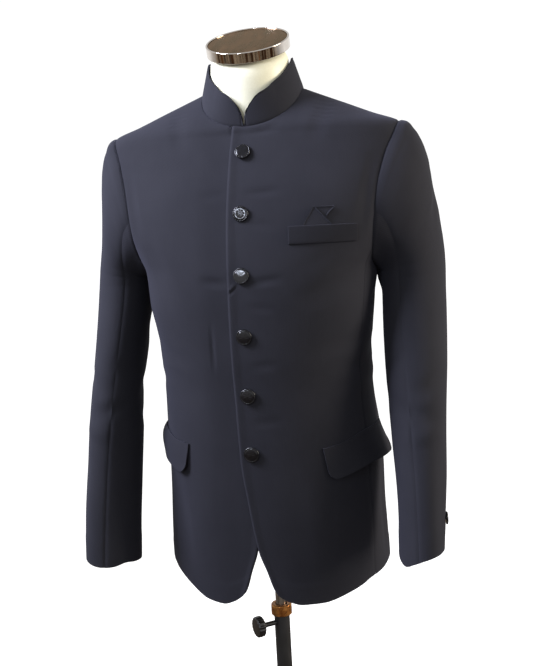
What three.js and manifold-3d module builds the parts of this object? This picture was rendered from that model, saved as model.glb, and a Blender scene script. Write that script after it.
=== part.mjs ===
// A bandhgala jacket buttoned up on a limbless dress form that stands on a sliding pole.
// Millimetres. The wearer faces -Y, +X is the wearer's left, +Z is up, and the origin is the
// centre of the base plate's underside. Heights in the jacket's tables start at hemLevel.
import * as THREE from 'three';
import Module from 'manifold-3d';

const wasm = await Module();
wasm.setup();

// Driving dimensions
const hemLevel = 700;
const clothWall = 2;
const collarWall = 2.6;
const seamGap = 0.3;
const lapStep = 2.4;
const neckHalfWidth = 77;
const neckSideHeight = 744;
const neckFrontDrop = 54;
const neckBackDrop = 13;
const armholeTop = 686;
const armholeCorner = 505;
const underarmLevel = 478;
const collarHeight = 46;
const collarTopHalfWidth = 64;
const collarTopHalfDepth = 62;
const collarTopMiddle = -5;
const collarFootMiddle = -3;
const collarFootHalfDepth = 63;
const collarCornerRadius = 26;
const collarSlant = 0.2;
const buttonRadius = 11.6;
const cuffButtonRadius = 9.5;
const buttonSpacing = 87.4;
const frontButtons = 6;
const topButtonHeight = 652;
const cuffLevels = { left: 54, right: 42 };
const formBottom = 70;
const capRadius = 63.4;
const capTilt = THREE.MathUtils.degToRad(23.5);
const capCentre = new THREE.Vector3(0, -15, hemLevel + 819);
const baseRadius = 190;
const poleRadius = 9;
const tubeBore = 9.6;
const tubeRadius = 12.6;
const ringRadius = 16.8;
const ringBottom = 609;
const ringTop = 627;

// Level sections of the buttoned jacket, measured from the pole's axis.
const torsoTable = smoothTable(
  ['height', 'halfWidth', 'front', 'back', 'middle', 'power'],
  [
    [-40, 175, 128, 174, 38, 2.3],
    [60, 173.5, 132, 170, 33, 2.3],
    [140, 170, 135, 160, 24, 2.3],
    [220, 167.5, 136, 143, 15, 2.3],
    [303, 162, 137, 124, 7, 2.3],
    [360, 165, 139, 120, 0, 2.35],
    [425, 172, 139, 122, -8, 2.4],
    [underarmLevel, 176, 136, 126, -8, 2.4],
    [505, 188, 132, 129, -6, 2.4],
    [540, 208, 124, 130, -3, 2.35],
    [590, 226, 108, 127, 0, 2.3],
    [640, 233, 87, 116, 2, 2.2],
    [670, 230, 75, 102, 1, 2.1],
    [680, 225.5, 71, 97, 0, 2.1],
    [686, 220, 69.5, 93, 0, 2.05],
    [701, 181, 60, 82, 0, 2],
    [718, 140, 42, 70, 1, 2],
    [731, 108, 27, 60, 2, 2],
    [744, 77, 12, 46, 3, 2],
    [770, 20, 4, 20, 3, 2],
  ],
);

// Where the armhole seam runs, seen from the front and from the back.
const armholeTable = smoothTable(
  ['height', 'frontX', 'backX'],
  [
    [underarmLevel, 176, 176],
    [490, 176.5, 177],
    [505, 179.5, 180],
    [540, 184, 187],
    [590, 190, 198],
    [640, 202, 210],
    [670, 214, 217],
    [686, 220, 220],
  ],
);

// How far the front edge passes the centre line, with the cutaway below the last button.
const edgeTable = smoothTable(
  ['height', 'lap'],
  [
    [-3, -24],
    [5, -20],
    [30, -12],
    [62, -1],
    [95, 5],
    [140, 11],
    [205, 16.5],
    [300, 17.5],
    [388, 19.5],
    [470, 21.5],
    [560, 22.5],
    [640, 21.5],
    [690, 18],
  ],
);

// The sleeve head as a fan of sections turned about the underarm.
const crownPivot = { x: 181, height: 466 };
const crownColumns = ['lift', 'reach', 'near', 'halfDepth', 'middle'];
const crownTables = {
  left: smoothTable(crownColumns, [
    [0, 98, 4, 66, 26],
    [32, 109, 4, 70, 23],
    [53, 147, 4, 76, 19],
    [65, 187, 6, 80, 15],
    [70, 210, 8, 80, 12],
    [75, 223, 9, 79, 9],
    [79, 223, 10, 78, 8],
  ]),
  right: smoothTable(crownColumns, [
    [0, 91, 4, 66, 26],
    [32, 97, 4, 70, 23],
    [53, 131, 4, 76, 19],
    [65, 173, 6, 80, 15],
    [70, 200, 8, 80, 12],
    [75, 219, 9, 79, 9],
    [79, 222, 10, 78, 8],
  ]),
};
const crownSeamLift = 79;
const crownLifts = [75.5, 71, 64, 53, 38, 20, 0];

// Level sections of the hanging sleeves, measured from the pole's axis.
const sleeveColumns = ['height', 'centreX', 'centreY', 'halfWidth', 'halfDepth', 'twist'];
const sleeveTables = {
  left: smoothTable(sleeveColumns, [
    [40, 239, -100, 31, 53, 15],
    [120, 239, -84, 34, 55, 14],
    [210, 238.5, -64, 38, 58, 12],
    [300, 235.5, -38, 44.5, 60, 8],
    [380, 233.5, -8, 47.5, 63, 4],
    [466, 231.5, 26, 47.5, 66, 0],
  ]),
  right: smoothTable(sleeveColumns, [
    [40, 242, -100, 35.5, 52, 14],
    [120, 241, -84, 36, 53, 12],
    [210, 238, -64, 37.5, 57, 9],
    [300, 236.5, -38, 36, 61, 3],
    [380, 232, -8, 38, 65, 0],
    [466, 228, 26, 44, 66, 0],
  ]),
};
const sleeveHeights = [425, 370, 310, 250, 185, 115];
// How far the cuff edge lies above its level, by the angle round the arm from the outermost line.
const cuffRises = {
  left: smoothTable(['turn', 'rise'], [
    [-360, 12.5],
    [-300, 10],
    [-240, 4],
    [-199, 0],
    [-176, -5.5],
    [-153, -8.5],
    [-125, 0],
    [-97, 8],
    [-64, 12],
    [0, 12.5],
  ]),
  right: smoothTable(['turn', 'rise'], [
    [-360, 3],
    [-310, 0],
    [-260, -8],
    [-215, -12.5],
    [-184, -9],
    [-155, -3.5],
    [-135, -5],
    [-105, -3.5],
    [-48, 2.5],
    [0, 3],
  ]),
};

// The neck of the dress form, level by level.
const neckTable = smoothTable(
  ['height', 'middle', 'halfWidth', 'halfDepth', 'tilt'],
  [
    [640, 3, 78, 60, 0],
    [690, 1, 68, 60, 0],
    [730, -3, 62, 58, 0],
    [752, -6, 60, 57, 0],
    [774, -8, 59.5, 57, 8],
    [804, -8.5, 60, 59, 23.5],
  ],
);

const colours = {
  suiting: new THREE.MeshStandardMaterial({ color: 0x2a2b3a, roughness: 0.85, metalness: 0 }),
  button: new THREE.MeshStandardMaterial({ color: 0x17181c, roughness: 0.25, metalness: 0.4 }),
  form: new THREE.MeshStandardMaterial({ color: 0xe9e4d6, roughness: 0.5, metalness: 0 }),
  chrome: new THREE.MeshStandardMaterial({ color: 0xb9b4ae, roughness: 0.12, metalness: 1 }),
  bronze: new THREE.MeshStandardMaterial({ color: 0x7d5a45, roughness: 0.3, metalness: 0.7 }),
  brass: new THREE.MeshStandardMaterial({ color: 0xb07a45, roughness: 0.3, metalness: 0.8 }),
  black: new THREE.MeshStandardMaterial({ color: 0x141414, roughness: 0.4, metalness: 0.1 }),
};

const model = new THREE.Group();

// Columns of a short table, read smoothly at any height without overshoot.
function smoothTable(names, rows) {
  const heights = rows.map((row) => row[0]);
  const count = rows.length;
  const slopes = names.map((_, c) => rows.map((row, i) => {
    const before = i > 0 ? (row[c] - rows[i - 1][c]) / (heights[i] - heights[i - 1]) : null;
    const after = i < count - 1 ? (rows[i + 1][c] - row[c]) / (heights[i + 1] - heights[i]) : null;
    if (before === null) return after;
    if (after === null) return before;
    return before * after > 0 ? (2 * before * after) / (before + after) : 0;
  }));
  return (height) => {
    const h = THREE.MathUtils.clamp(height, heights[0], heights[count - 1]);
    let i = 0;
    while (i < count - 2 && h > heights[i + 1]) i += 1;
    const span = heights[i + 1] - heights[i];
    const t = (h - heights[i]) / span;
    const values = {};
    names.forEach((name, c) => {
      const a = rows[i][c];
      const b = rows[i + 1][c];
      values[name] = a * (1 + 2 * t) * (1 - t) ** 2 + b * t * t * (3 - 2 * t)
        + span * t * (1 - t) * (slopes[c][i] * (1 - t) - slopes[c][i + 1] * t);
    });
    return values;
  };
}

function mix(a, b, t) {
  return a + (b - a) * t;
}

function ramp(from, to, value) {
  return THREE.MathUtils.smoothstep(value, Math.min(from, to), Math.max(from, to));
}

// The jacket's outer face: 1 on it, more outside, less inside.
function torsoLevel(x, y, height) {
  const s = torsoTable(height);
  const depth = y < s.middle ? s.middle + s.front : s.back - s.middle;
  const across = Math.abs(x / s.halfWidth) ** s.power;
  const along = Math.abs((y - s.middle) / depth) ** s.power;
  return (across + along) ** (1 / s.power);
}

function torsoGradient(x, y, height) {
  const step = 0.5;
  return new THREE.Vector3(
    torsoLevel(x + step, y, height) - torsoLevel(x - step, y, height),
    torsoLevel(x, y + step, height) - torsoLevel(x, y - step, height),
    torsoLevel(x, y, height + step) - torsoLevel(x, y, height - step),
  ).divideScalar(2 * step);
}

// A point of the outer face at a place across and a height, on the front or the back.
function facePoint(x, height, onBack) {
  const s = torsoTable(height);
  const ratio = Math.min(1, Math.abs(x) / s.halfWidth);
  const share = Math.max(0, 1 - ratio ** s.power) ** (1 / s.power);
  const y = s.middle + (onBack ? s.back - s.middle : -s.middle - s.front) * share;
  return new THREE.Vector3(x, y, height);
}

// A point of the outer face at an angle: -90 degrees is the front, 0 the side, 90 the back.
function anglePoint(angle, height) {
  const s = torsoTable(height);
  const a = THREE.MathUtils.degToRad(angle);
  const across = Math.abs(Math.cos(a)) ** (2 / s.power);
  const along = Math.abs(Math.sin(a)) ** (2 / s.power);
  const y = s.middle + (angle < 0 ? -s.middle - s.front : s.back - s.middle) * along;
  return new THREE.Vector3(s.halfWidth * across, y, height);
}

function angleOf(x, height) {
  const s = torsoTable(height);
  return THREE.MathUtils.radToDeg(Math.acos(Math.min(1, (x / s.halfWidth) ** (s.power / 2))));
}

// Draws the edges of a grid back, square to each edge, so that seams keep a gap.
function trimGrid(grid, edges) {
  const rows = grid.length - 1;
  const columns = grid[0].length - 1;
  const copy = copyGrid(grid);
  const pull = (i, j, next, before, after) => {
    const edge = after.clone().sub(before).normalize();
    const way = next.clone().sub(copy[i][j]);
    way.addScaledVector(edge, -way.dot(edge));
    grid[i][j].addScaledVector(way.normalize(), seamGap / 2 + 0.02);
  };
  const alongRow = (i, j, next) => {
    pull(i, j, next[j], copy[i][Math.max(0, j - 1)], copy[i][Math.min(columns, j + 1)]);
  };
  const alongColumn = (i, j, next) => {
    pull(i, j, copy[i][next], copy[Math.max(0, i - 1)][j], copy[Math.min(rows, i + 1)][j]);
  };
  for (let j = 0; j <= columns; j += 1) {
    if (edges.bottom) alongRow(0, j, copy[1]);
    if (edges.top) alongRow(rows, j, copy[rows - 1]);
  }
  for (let i = 0; i <= rows; i += 1) {
    if (edges.start) alongColumn(i, 0, 1);
    if (edges.end) alongColumn(i, columns, columns - 1);
  }
  return grid;
}

// A wall between two matching grids of points, closed round its rim.
function wallGeometry(outer, inner) {
  const rows = outer.length;
  const columns = outer[0].length;
  const points = [...outer.flat(), ...inner.flat()];
  const half = rows * columns;
  const at = (i, j, side) => side * half + i * columns + j;
  const faces = [];
  const quad = (a, b, c, d) => faces.push(a, b, c, a, c, d);
  for (let i = 0; i < rows - 1; i += 1) {
    for (let j = 0; j < columns - 1; j += 1) {
      quad(at(i, j, 0), at(i, j + 1, 0), at(i + 1, j + 1, 0), at(i + 1, j, 0));
      quad(at(i, j, 1), at(i + 1, j, 1), at(i + 1, j + 1, 1), at(i, j + 1, 1));
    }
  }
  const rim = [];
  for (let j = 0; j < columns - 1; j += 1) rim.push([0, j]);
  for (let i = 0; i < rows - 1; i += 1) rim.push([i, columns - 1]);
  for (let j = columns - 1; j > 0; j -= 1) rim.push([rows - 1, j]);
  for (let i = rows - 1; i > 0; i -= 1) rim.push([i, 0]);
  rim.forEach(([i, j], k) => {
    const [m, n] = rim[(k + 1) % rim.length];
    quad(at(m, n, 0), at(i, j, 0), at(i, j, 1), at(m, n, 1));
  });
  return solidGeometry(points, faces);
}

// A closed geometry with its faces turned outwards.
function solidGeometry(points, faces) {
  let volume = 0;
  for (let k = 0; k < faces.length; k += 3) {
    const [a, b, c] = [points[faces[k]], points[faces[k + 1]], points[faces[k + 2]]];
    volume += a.dot(new THREE.Vector3().crossVectors(b, c));
  }
  const order = volume < 0 ? faces.map((_, k) => faces[k - (k % 3) + 2 - (k % 3)]) : faces;
  const geometry = new THREE.BufferGeometry();
  const places = points.flatMap((p) => p.toArray());
  geometry.setAttribute('position', new THREE.Float32BufferAttribute(places, 3));
  geometry.setIndex(order);
  return geometry;
}

function addPiece(name, geometry, material, parent = model) {
  const mesh = new THREE.Mesh(geometry, material);
  mesh.name = name;
  parent.add(mesh);
  return mesh;
}

// A cloth piece whose outer face is a grid of points on the torso, moved out by an offset.
function clothOnTorso(grid, offset, wall, side) {
  const place = (p, out) => {
    const normal = torsoGradient(p.x, p.y, p.z).normalize();
    const q = p.clone().addScaledVector(normal, out);
    return new THREE.Vector3(q.x * side, q.y, q.z + hemLevel);
  };
  const outer = grid.map((row, i) => row.map((p, j) => place(p, offset(p, i, j))));
  const inner = grid.map((row, i) => row.map((p, j) => place(p, offset(p, i, j) - wall)));
  return wallGeometry(outer, inner);
}

// Shares of the way up from the hem to the armhole's corner, and across a front or back.
const lowerShares = [0, 0.12, 0.25, 0.38, 0.51, 0.63, 0.75, 0.88, 1];
const upperSteps = 7;
const neckColumns = 5;
const frontShares = [0, 0.15, 0.29, 0.43, 0.56, 0.68, 0.79, 0.9, 1];
const backShares = [0, 0.12, 0.24, 0.35, 0.45, 0.55, 0.64, 0.73, 0.82, 0.91, 1];
const lapReach = 18;
const ridgePower = 2.2;

function upperShare(step) {
  return 1 - (1 - step / upperSteps) ** ridgePower;
}

// Height of the shoulder seam, where the section is only as wide as the place across.
function shoulderHeight(x) {
  let low = armholeTop;
  let high = neckSideHeight;
  for (let n = 0; n < 40; n += 1) {
    const middle = (low + high) / 2;
    if (torsoTable(middle).halfWidth > x) low = middle;
    else high = middle;
  }
  return (low + high) / 2;
}

function neckHeight(x, onBack) {
  const rise = Math.sqrt(Math.max(0, 1 - (x / neckHalfWidth) ** 2));
  return neckSideHeight - (onBack ? neckBackDrop : neckFrontDrop) * rise;
}

// The top of a front or back, along the neckline and then the shoulder seam.
function topOutline(column, onBack, columns) {
  if (column <= neckColumns) {
    const first = onBack ? 0 : 2;
    const lapTurn = onBack ? 0 : Math.asin(lapReach / neckHalfWidth);
    const turn = mix(lapTurn, Math.PI / 2, (column - first) / (neckColumns - first));
    const x = column < first ? lapReach * (column - 1) : neckHalfWidth * Math.sin(turn);
    return { x, height: neckHeight(x, onBack) };
  }
  const across = (column - neckColumns) / (columns - neckColumns);
  const x = mix(neckHalfWidth, armholeTable(armholeTop).frontX, across);
  return { x, height: shoulderHeight(x) };
}

// The front hems, from the rounded corner at the cutaway to the side seam.
const hemColumns = ['across', 'height'];
const hemTables = {
  left: smoothTable(hemColumns, [
    [24, -3], [33, -11], [44, -17], [62, -22], [90, -22], [130, -13], [170, -3],
  ]),
  right: smoothTable(hemColumns, [
    [24, -3], [33, -12], [44, -19], [60, -24], [85, -21], [120, -3], [165, 17],
  ]),
};
const edgeFoot = -3;
const sideHems = { left: -3, right: 18 };
const backHem = -6;
const frontSeamHemAngle = -25;
const backSeamHemAngle = 25;

function seamAngle(height, onBack) {
  const corner = armholeTable(armholeCorner);
  const top = angleOf(onBack ? corner.backX : corner.frontX, armholeCorner);
  const share = height / armholeCorner;
  return onBack ? mix(backSeamHemAngle, top, share) : mix(frontSeamHemAngle, -top, share);
}

// Places across a front: the edge, the centre and the other front's edge come first.
function frontPlaces(height, seamX) {
  const { lap } = edgeTable(height);
  const third = Math.max(lap, lapReach, 22 - lap);
  const second = Math.max(0, mix(-lap, third, 0.45));
  return [-lap, second, ...frontShares.map((share) => mix(third, seamX, share))];
}

function places(height, onBack) {
  const seamX = anglePoint(seamAngle(height, onBack), height).x;
  return onBack ? backShares.map((share) => share * seamX) : frontPlaces(height, seamX);
}

function bodyGrid(side, onBack) {
  const columns = places(armholeCorner, onBack).length - 1;
  const bottoms = places(edgeFoot, onBack).map((x, j) => {
    if (j === 0 && !onBack) return edgeFoot;
    return onBack ? mix(backHem, sideHems[side], j / columns) : hemTables[side](x).height;
  });
  bottoms[columns] = sideHems[side];
  const grid = lowerShares.map((share) => bottoms.map((bottom, j) => {
    const height = mix(bottom, armholeCorner, share);
    return facePoint(places(height, onBack)[j], height, onBack);
  }));
  for (let step = 1; step <= upperSteps; step += 1) {
    grid.push(places(armholeCorner, onBack).map((baseX, j) => {
      const top = topOutline(j, onBack, columns);
      const share = upperShare(step);
      const height = mix(armholeCorner, top.height, share);
      const hole = armholeTable(height);
      const edge = places(height, onBack)[j];
      if (j === columns) return facePoint(onBack ? hole.backX : hole.frontX, height, onBack);
      if (j < (onBack ? 1 : 3)) return facePoint(edge, height, onBack);
      return facePoint(mix(baseX, top.x, share), height, onBack);
    }));
  }
  return grid;
}

const sideColumns = 5;

// Height of the armhole's lower arc at an angle round the side.
function underarmHeight(angle) {
  let low = underarmLevel;
  let high = armholeCorner;
  for (let n = 0; n < 40; n += 1) {
    const middle = (low + high) / 2;
    const hole = armholeTable(middle);
    const edge = angleOf(angle < 0 ? hole.frontX : hole.backX, middle);
    if (edge < Math.abs(angle)) low = middle;
    else high = middle;
  }
  return (low + high) / 2;
}

function sideGrid(side) {
  return lowerShares.map((share) => Array.from({ length: sideColumns + 1 }, (_, j) => {
    const across = j / sideColumns;
    const topAngle = mix(seamAngle(armholeCorner, false), seamAngle(armholeCorner, true), across);
    const top = j === 0 || j === sideColumns ? armholeCorner : underarmHeight(topAngle);
    const height = mix(sideHems[side], top, share);
    const angle = mix(seamAngle(height, false), seamAngle(height, true), across);
    return anglePoint(share === 1 ? topAngle : angle, height);
  }));
}

const sides = [['left', 1], ['right', -1]];
const bodyGrids = Object.fromEntries(sides.map(([side]) => [side, {
  front: bodyGrid(side, false),
  panel: sideGrid(side),
  back: bodyGrid(side, true),
}]));

// The right front lies under the left one as far as the lap reaches.
function underLap(p) {
  return -lapStep * (1 - ramp(25, 70, p.x));
}

function copyGrid(grid) {
  return grid.map((row) => row.map((p) => p.clone()));
}

function makeBody() {
  sides.forEach(([side, way]) => {
    const { front, panel, back } = bodyGrids[side];
    const level = () => 0;
    const frontCut = trimGrid(copyGrid(front), { top: true, end: true });
    const panelCut = trimGrid(copyGrid(panel), { top: true, start: true, end: true });
    const backCut = trimGrid(copyGrid(back), { top: true, start: true, end: true });
    const lap = side === 'left' ? level : underLap;
    addPiece(`${side}_front`, clothOnTorso(frontCut, lap, clothWall, way), colours.suiting);
    addPiece(`${side}_side_panel`, clothOnTorso(panelCut, level, clothWall, way), colours.suiting);
    addPiece(`${side}_back`, clothOnTorso(backCut, level, clothWall, way), colours.suiting);
  });
}

// The armhole seam from the shoulder seam down the front, under the arm and up the back.
function armholeLoop() {
  const { front: frontGrid, panel: sidePanelGrid, back: backGrid } = bodyGrids.left;
  const lastColumn = frontGrid[0].length - 1;
  const lowest = lowerShares.length - 1;
  const loop = [];
  for (let i = frontGrid.length - 1; i >= lowest; i -= 1) loop.push(frontGrid[i][lastColumn].clone());
  for (let j = 1; j < sideColumns; j += 1) loop.push(sidePanelGrid[lowest][j].clone());
  for (let i = lowest; i < backGrid.length; i += 1) loop.push(backGrid[i][lastColumn].clone());
  return loop;
}

// Rings of points from the armhole seam to the cuff, for the wearer's left arm.
function sleeveRings(side) {
  const crown = crownTables[side];
  const seam = armholeLoop();
  const count = seam.length;
  const fanPoint = (lift, turn) => {
    const s = crown(lift);
    const a = THREE.MathUtils.degToRad(lift);
    const out = s.near + (s.reach - s.near) * (1 + Math.cos(turn)) / 2;
    return new THREE.Vector3(
      crownPivot.x + out * Math.cos(a),
      s.middle + s.halfDepth * Math.sin(turn),
      crownPivot.height + out * Math.sin(a),
    );
  };
  const first = crown(crownSeamLift);
  const turns = seam.map((p, j) => {
    const out = Math.hypot(p.x - crownPivot.x, p.z - crownPivot.height);
    const share = (out - first.near) / (first.reach - first.near) * 2 - 1;
    const turn = Math.atan2((p.y - first.middle) / first.halfDepth, share);
    if (j === 0) return 0;
    if (j === count - 1) return -2 * Math.PI;
    return turn > 0 ? turn - 2 * Math.PI : turn;
  });
  const slack = seam.map((p, j) => p.clone().sub(fanPoint(crownSeamLift, turns[j])));
  const evenTurn = (j) => -2 * Math.PI * j / (count - 1);
  const rings = [seam];
  const levels = [...sleeveHeights, cuffLevels[side]];
  const total = crownLifts.length + levels.length;
  const turnAt = (j, k) => mix(turns[j], evenTurn(j), ramp(0, total * 0.7, k));
  crownLifts.forEach((lift, k) => {
    const fade = 1 - ramp(0, 1, (k + 1) / (crownLifts.length - 2));
    rings.push(seam.map((_, j) => fanPoint(lift, turnAt(j, k + 1)).addScaledVector(slack[j], fade)));
  });
  levels.forEach((height, k) => {
    const s = sleeveTables[side](height);
    const twist = THREE.MathUtils.degToRad(s.twist);
    rings.push(seam.map((_, j) => {
      const turn = turnAt(j, crownLifts.length + k + 1);
      const rise = k < levels.length - 1 ? 0 : cuffRises[side](THREE.MathUtils.radToDeg(turn)).rise;
      const across = s.halfWidth * Math.cos(turn);
      const along = s.halfDepth * Math.sin(turn);
      return new THREE.Vector3(
        s.centreX + across * Math.cos(twist) - along * Math.sin(twist),
        s.centreY + across * Math.sin(twist) + along * Math.cos(twist),
        height + rise,
      );
    }));
  });
  return rings;
}

function ringNormals(rings) {
  const count = rings[0].length - 1;
  return rings.map((ring, k) => ring.map((_, j) => {
    const before = ring[(j + count - 1) % count];
    const after = ring[(j + 1) % count];
    const above = rings[Math.max(0, k - 1)][j];
    const below = rings[Math.min(rings.length - 1, k + 1)][j];
    const along = after.clone().sub(before);
    const down = below.clone().sub(above);
    return along.cross(down).normalize();
  }));
}

const underStart = 6;
const underEnd = 13;

function makeSleeve(name, way) {
  const rings = sleeveRings(name);
  const normals = ringNormals(rings);
  const count = rings[0].length - 1;
  const strip = (from, to) => {
    const pick = (list) => list.map((ring) => Array.from({ length: to - from + 1 }, (_, j) => (
      ring[(from + j) % count].clone()
    )));
    const grid = trimGrid(pick(rings), { bottom: true, start: true, end: true });
    const outward = pick(normals);
    const place = (p, normal, inset) => {
      const q = p.clone().addScaledVector(normal, -inset);
      return new THREE.Vector3(q.x * way, q.y, q.z + hemLevel);
    };
    return wallGeometry(
      grid.map((row, i) => row.map((p, j) => place(p, outward[i][j], 0))),
      grid.map((row, i) => row.map((p, j) => place(p, outward[i][j], clothWall))),
    );
  };
  addPiece(`${name}_top_sleeve`, strip(underEnd, underStart + count), colours.suiting);
  addPiece(`${name}_under_sleeve`, strip(underStart, underEnd), colours.suiting);
}

// The neckline from the middle of the front to the middle of the back, on the wearer's left.
function necklineLoop() {
  const { front, back } = bodyGrids.left;
  const frontTop = front[front.length - 1].slice(1, neckColumns + 1);
  const backTop = back[back.length - 1].slice(0, neckColumns).reverse();
  return [...frontTop, ...backTop];
}

const collarSteps = [4, 3, 2, 2, 2, 2, 2, 2, 2];
const collarShares = [0, 0.34, 0.67, 1];

function collarHalf() {
  const loop = necklineLoop();
  const feet = [loop[0].clone()];
  collarSteps.forEach((steps, k) => {
    for (let n = 1; n <= steps; n += 1) feet.push(loop[k].clone().lerp(loop[k + 1], n / steps));
  });
  let along = 0;
  return feet.map((foot, k) => {
    if (k > 0) along += foot.distanceTo(feet[k - 1]);
    const turn = Math.atan2((foot.y - collarFootMiddle) / collarFootHalfDepth, foot.x / neckHalfWidth);
    const top = new THREE.Vector3(
      collarTopHalfWidth * Math.cos(turn),
      collarTopMiddle + collarTopHalfDepth * Math.sin(turn),
      foot.z + collarHeight,
    );
    const short = Math.max(0, collarCornerRadius - along);
    const corner = collarCornerRadius - Math.sqrt(collarCornerRadius ** 2 - short ** 2);
    const reach = 1 - corner / collarHeight;
    return collarShares.map((share) => {
      const p = foot.clone().lerp(top, share * reach);
      p.x += collarSlant * collarHeight * share * reach * Math.max(0, 1 - along / 60);
      return p;
    });
  });
}

function gridNormals(grid) {
  const rows = grid.length - 1;
  const columns = grid[0].length - 1;
  return grid.map((row, i) => row.map((_, j) => {
    const along = row[Math.min(columns, j + 1)].clone().sub(row[Math.max(0, j - 1)]);
    const up = grid[Math.min(rows, i + 1)][j].clone().sub(grid[Math.max(0, i - 1)][j]);
    return along.cross(up).normalize();
  }));
}

// The band collar, one piece from the left front edge round the back to the right one.
function makeCollar() {
  const half = collarHalf();
  const mirrored = half.slice(0, -1).reverse().map((column) => (
    column.map((p) => new THREE.Vector3(-p.x, p.y, p.z))
  ));
  const columns = [...mirrored, ...half].reverse();
  const lastColumn = columns.length - 1;
  const grid = collarShares.map((_, i) => columns.map((column) => column[i].clone()));
  const inward = gridNormals(grid).map((row) => row.map((n, j) => {
    if (j === 0 || j === lastColumn) n.x = 0;
    return n.normalize();
  }));
  trimGrid(grid, { bottom: true, start: true, end: true });
  const place = (depth) => grid.map((row, i) => row.map((p, j) => {
    const q = p.clone().addScaledVector(inward[i][j], depth);
    return q.setZ(q.z + hemLevel);
  }));
  addPiece('collar', wallGeometry(place(0), place(collarWall)), colours.suiting);
}

// Patches on a front: outlines as rows of [height, from, to], offsets measured off the cloth.
function patchGrid(rows, columns) {
  return rows.map(([height, from, to]) => Array.from({ length: columns + 1 }, (_, j) => (
    facePoint(mix(from, to, j / columns), height, false)
  )));
}

const weltRows = [[518, 68.6, 161], [526, 68.6, 161], [534, 68.6, 161], [543, 68.6, 161]];
const weltLean = 3.6;
const squareWall = 1.5;
const squareBack = [[533, 93, 127], [545, 93, 127.5], [554.5, 97.5, 122], [569, 105, 134]];
const squareFront = [[547, 94, 127], [554.5, 97.5, 120.5], [569, 105, 107]];
const squareRim = [[553.6, 119.6, 121.8], [568.6, 131.4, 133.4]];
const squareFold = [[547.4, 94.4, 95.8], [554.5, 97.9, 99.3], [568.5, 105.2, 106.6]];
const seat = 0.35;

function manifoldOf(geometry) {
  const mesh = new wasm.Mesh({
    numProp: 3,
    vertProperties: new Float32Array(geometry.attributes.position.array),
    triVerts: new Uint32Array(geometry.index.array),
  });
  return new wasm.Manifold(mesh);
}

function geometryOf(manifold) {
  const mesh = manifold.getMesh();
  const geometry = new THREE.BufferGeometry();
  geometry.setAttribute('position', new THREE.BufferAttribute(new Float32Array(mesh.vertProperties), 3));
  geometry.setIndex([...mesh.triVerts]);
  return geometry;
}

function makeChestPocket() {
  const lean = (p, i) => seat + clothWall + weltLean * i / (weltRows.length - 1);
  addPiece('chest_welt', clothOnTorso(patchGrid(weltRows, 6), lean, clothWall, 1), colours.suiting);
  const layer = (rows, columns, out, wall) => (
    manifoldOf(clothOnTorso(patchGrid(rows, columns), () => seat + out, wall, 1))
  );
  const front = 2 * squareWall + 0.6;
  const square = wasm.Manifold.union([
    layer(squareBack, 3, squareWall, squareWall),
    layer(squareFront, 3, front, squareWall),
    layer(squareRim, 1, front - 0.2, front - 0.4),
    layer(squareFold, 1, front - 0.2, front - 0.4),
  ]);
  addPiece('pocket_square', geometryOf(square), colours.suiting);
}

// The flaps start at the pocket mouth and hang away from the skirt towards their lower edge.
const flapStart = -56;
const flapTops = { left: { front: 218, side: 232 }, right: { front: 225, side: 238 } };
// A bowed flap stands off most at half its depth, and curls back in at its lower edge and its rear end.
const flapStandOffs = {
  left: { front: 3, side: 14, bow: 0 },
  right: { front: 6, side: 10.5, bow: 1 },
};
const flapBowReach = 0.93 * Math.PI;
const flapRearCurl = 0.75;
const flapSteps = [0, 1.6, 4.5, 8.5, 14, 30, 47, 64, 81, 98, 115, 131, 139, 144, 147.5, 149.5, 151];
const flapDrops = { left: 49, right: 46 };
const flapCorner = 14;
const flapSlant = 0.14;
const flapShares = [1, 0.75, 0.5, 0.25, 0];

// Angles round the hip at distances from a starting angle.
function anglesAlong(start, distances, height) {
  const step = 0.25;
  let angle = start;
  let walked = 0;
  return distances.map((distance) => {
    while (walked < distance) {
      walked += anglePoint(angle, height).distanceTo(anglePoint(angle + step, height));
      angle += step;
    }
    return angle;
  });
}

function makeFlap(side, way) {
  const { front, side: rear } = flapTops[side];
  const width = flapSteps[flapSteps.length - 1];
  const drop = flapDrops[side];
  const cut = (along) => {
    const short = Math.max(0, flapCorner - Math.min(along, width - along));
    return drop - flapCorner + Math.sqrt(flapCorner ** 2 - short ** 2);
  };
  const grid = flapShares.map((share) => {
    const distances = flapSteps.map((along) => {
      const slant = flapSlant * cut(along) * share;
      return along + slant * (1 - along / width);
    });
    const angles = anglesAlong(flapStart, distances, front);
    return angles.map((angle, j) => {
      const along = flapSteps[j] / width;
      return anglePoint(angle, mix(front, rear, ramp(0, 0.6, along)) - cut(flapSteps[j]) * share);
    });
  });
  const standOff = flapStandOffs[side];
  const offset = (p, i, j) => {
    const share = flapShares[i] * cut(flapSteps[j]) / drop;
    const along = flapSteps[j] / width;
    const straight = share ** 1.4;
    const bowed = mix(straight, Math.sin(flapBowReach * share ** 0.8), standOff.bow);
    const curl = 1 - standOff.bow * flapRearCurl * ramp(0.7, 1, along);
    return seat + clothWall + mix(standOff.front * straight, standOff.side * bowed, along) * curl;
  };
  addPiece(`${side}_pocket_flap`, clothOnTorso(grid, offset, clothWall, way), colours.suiting);
}

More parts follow.
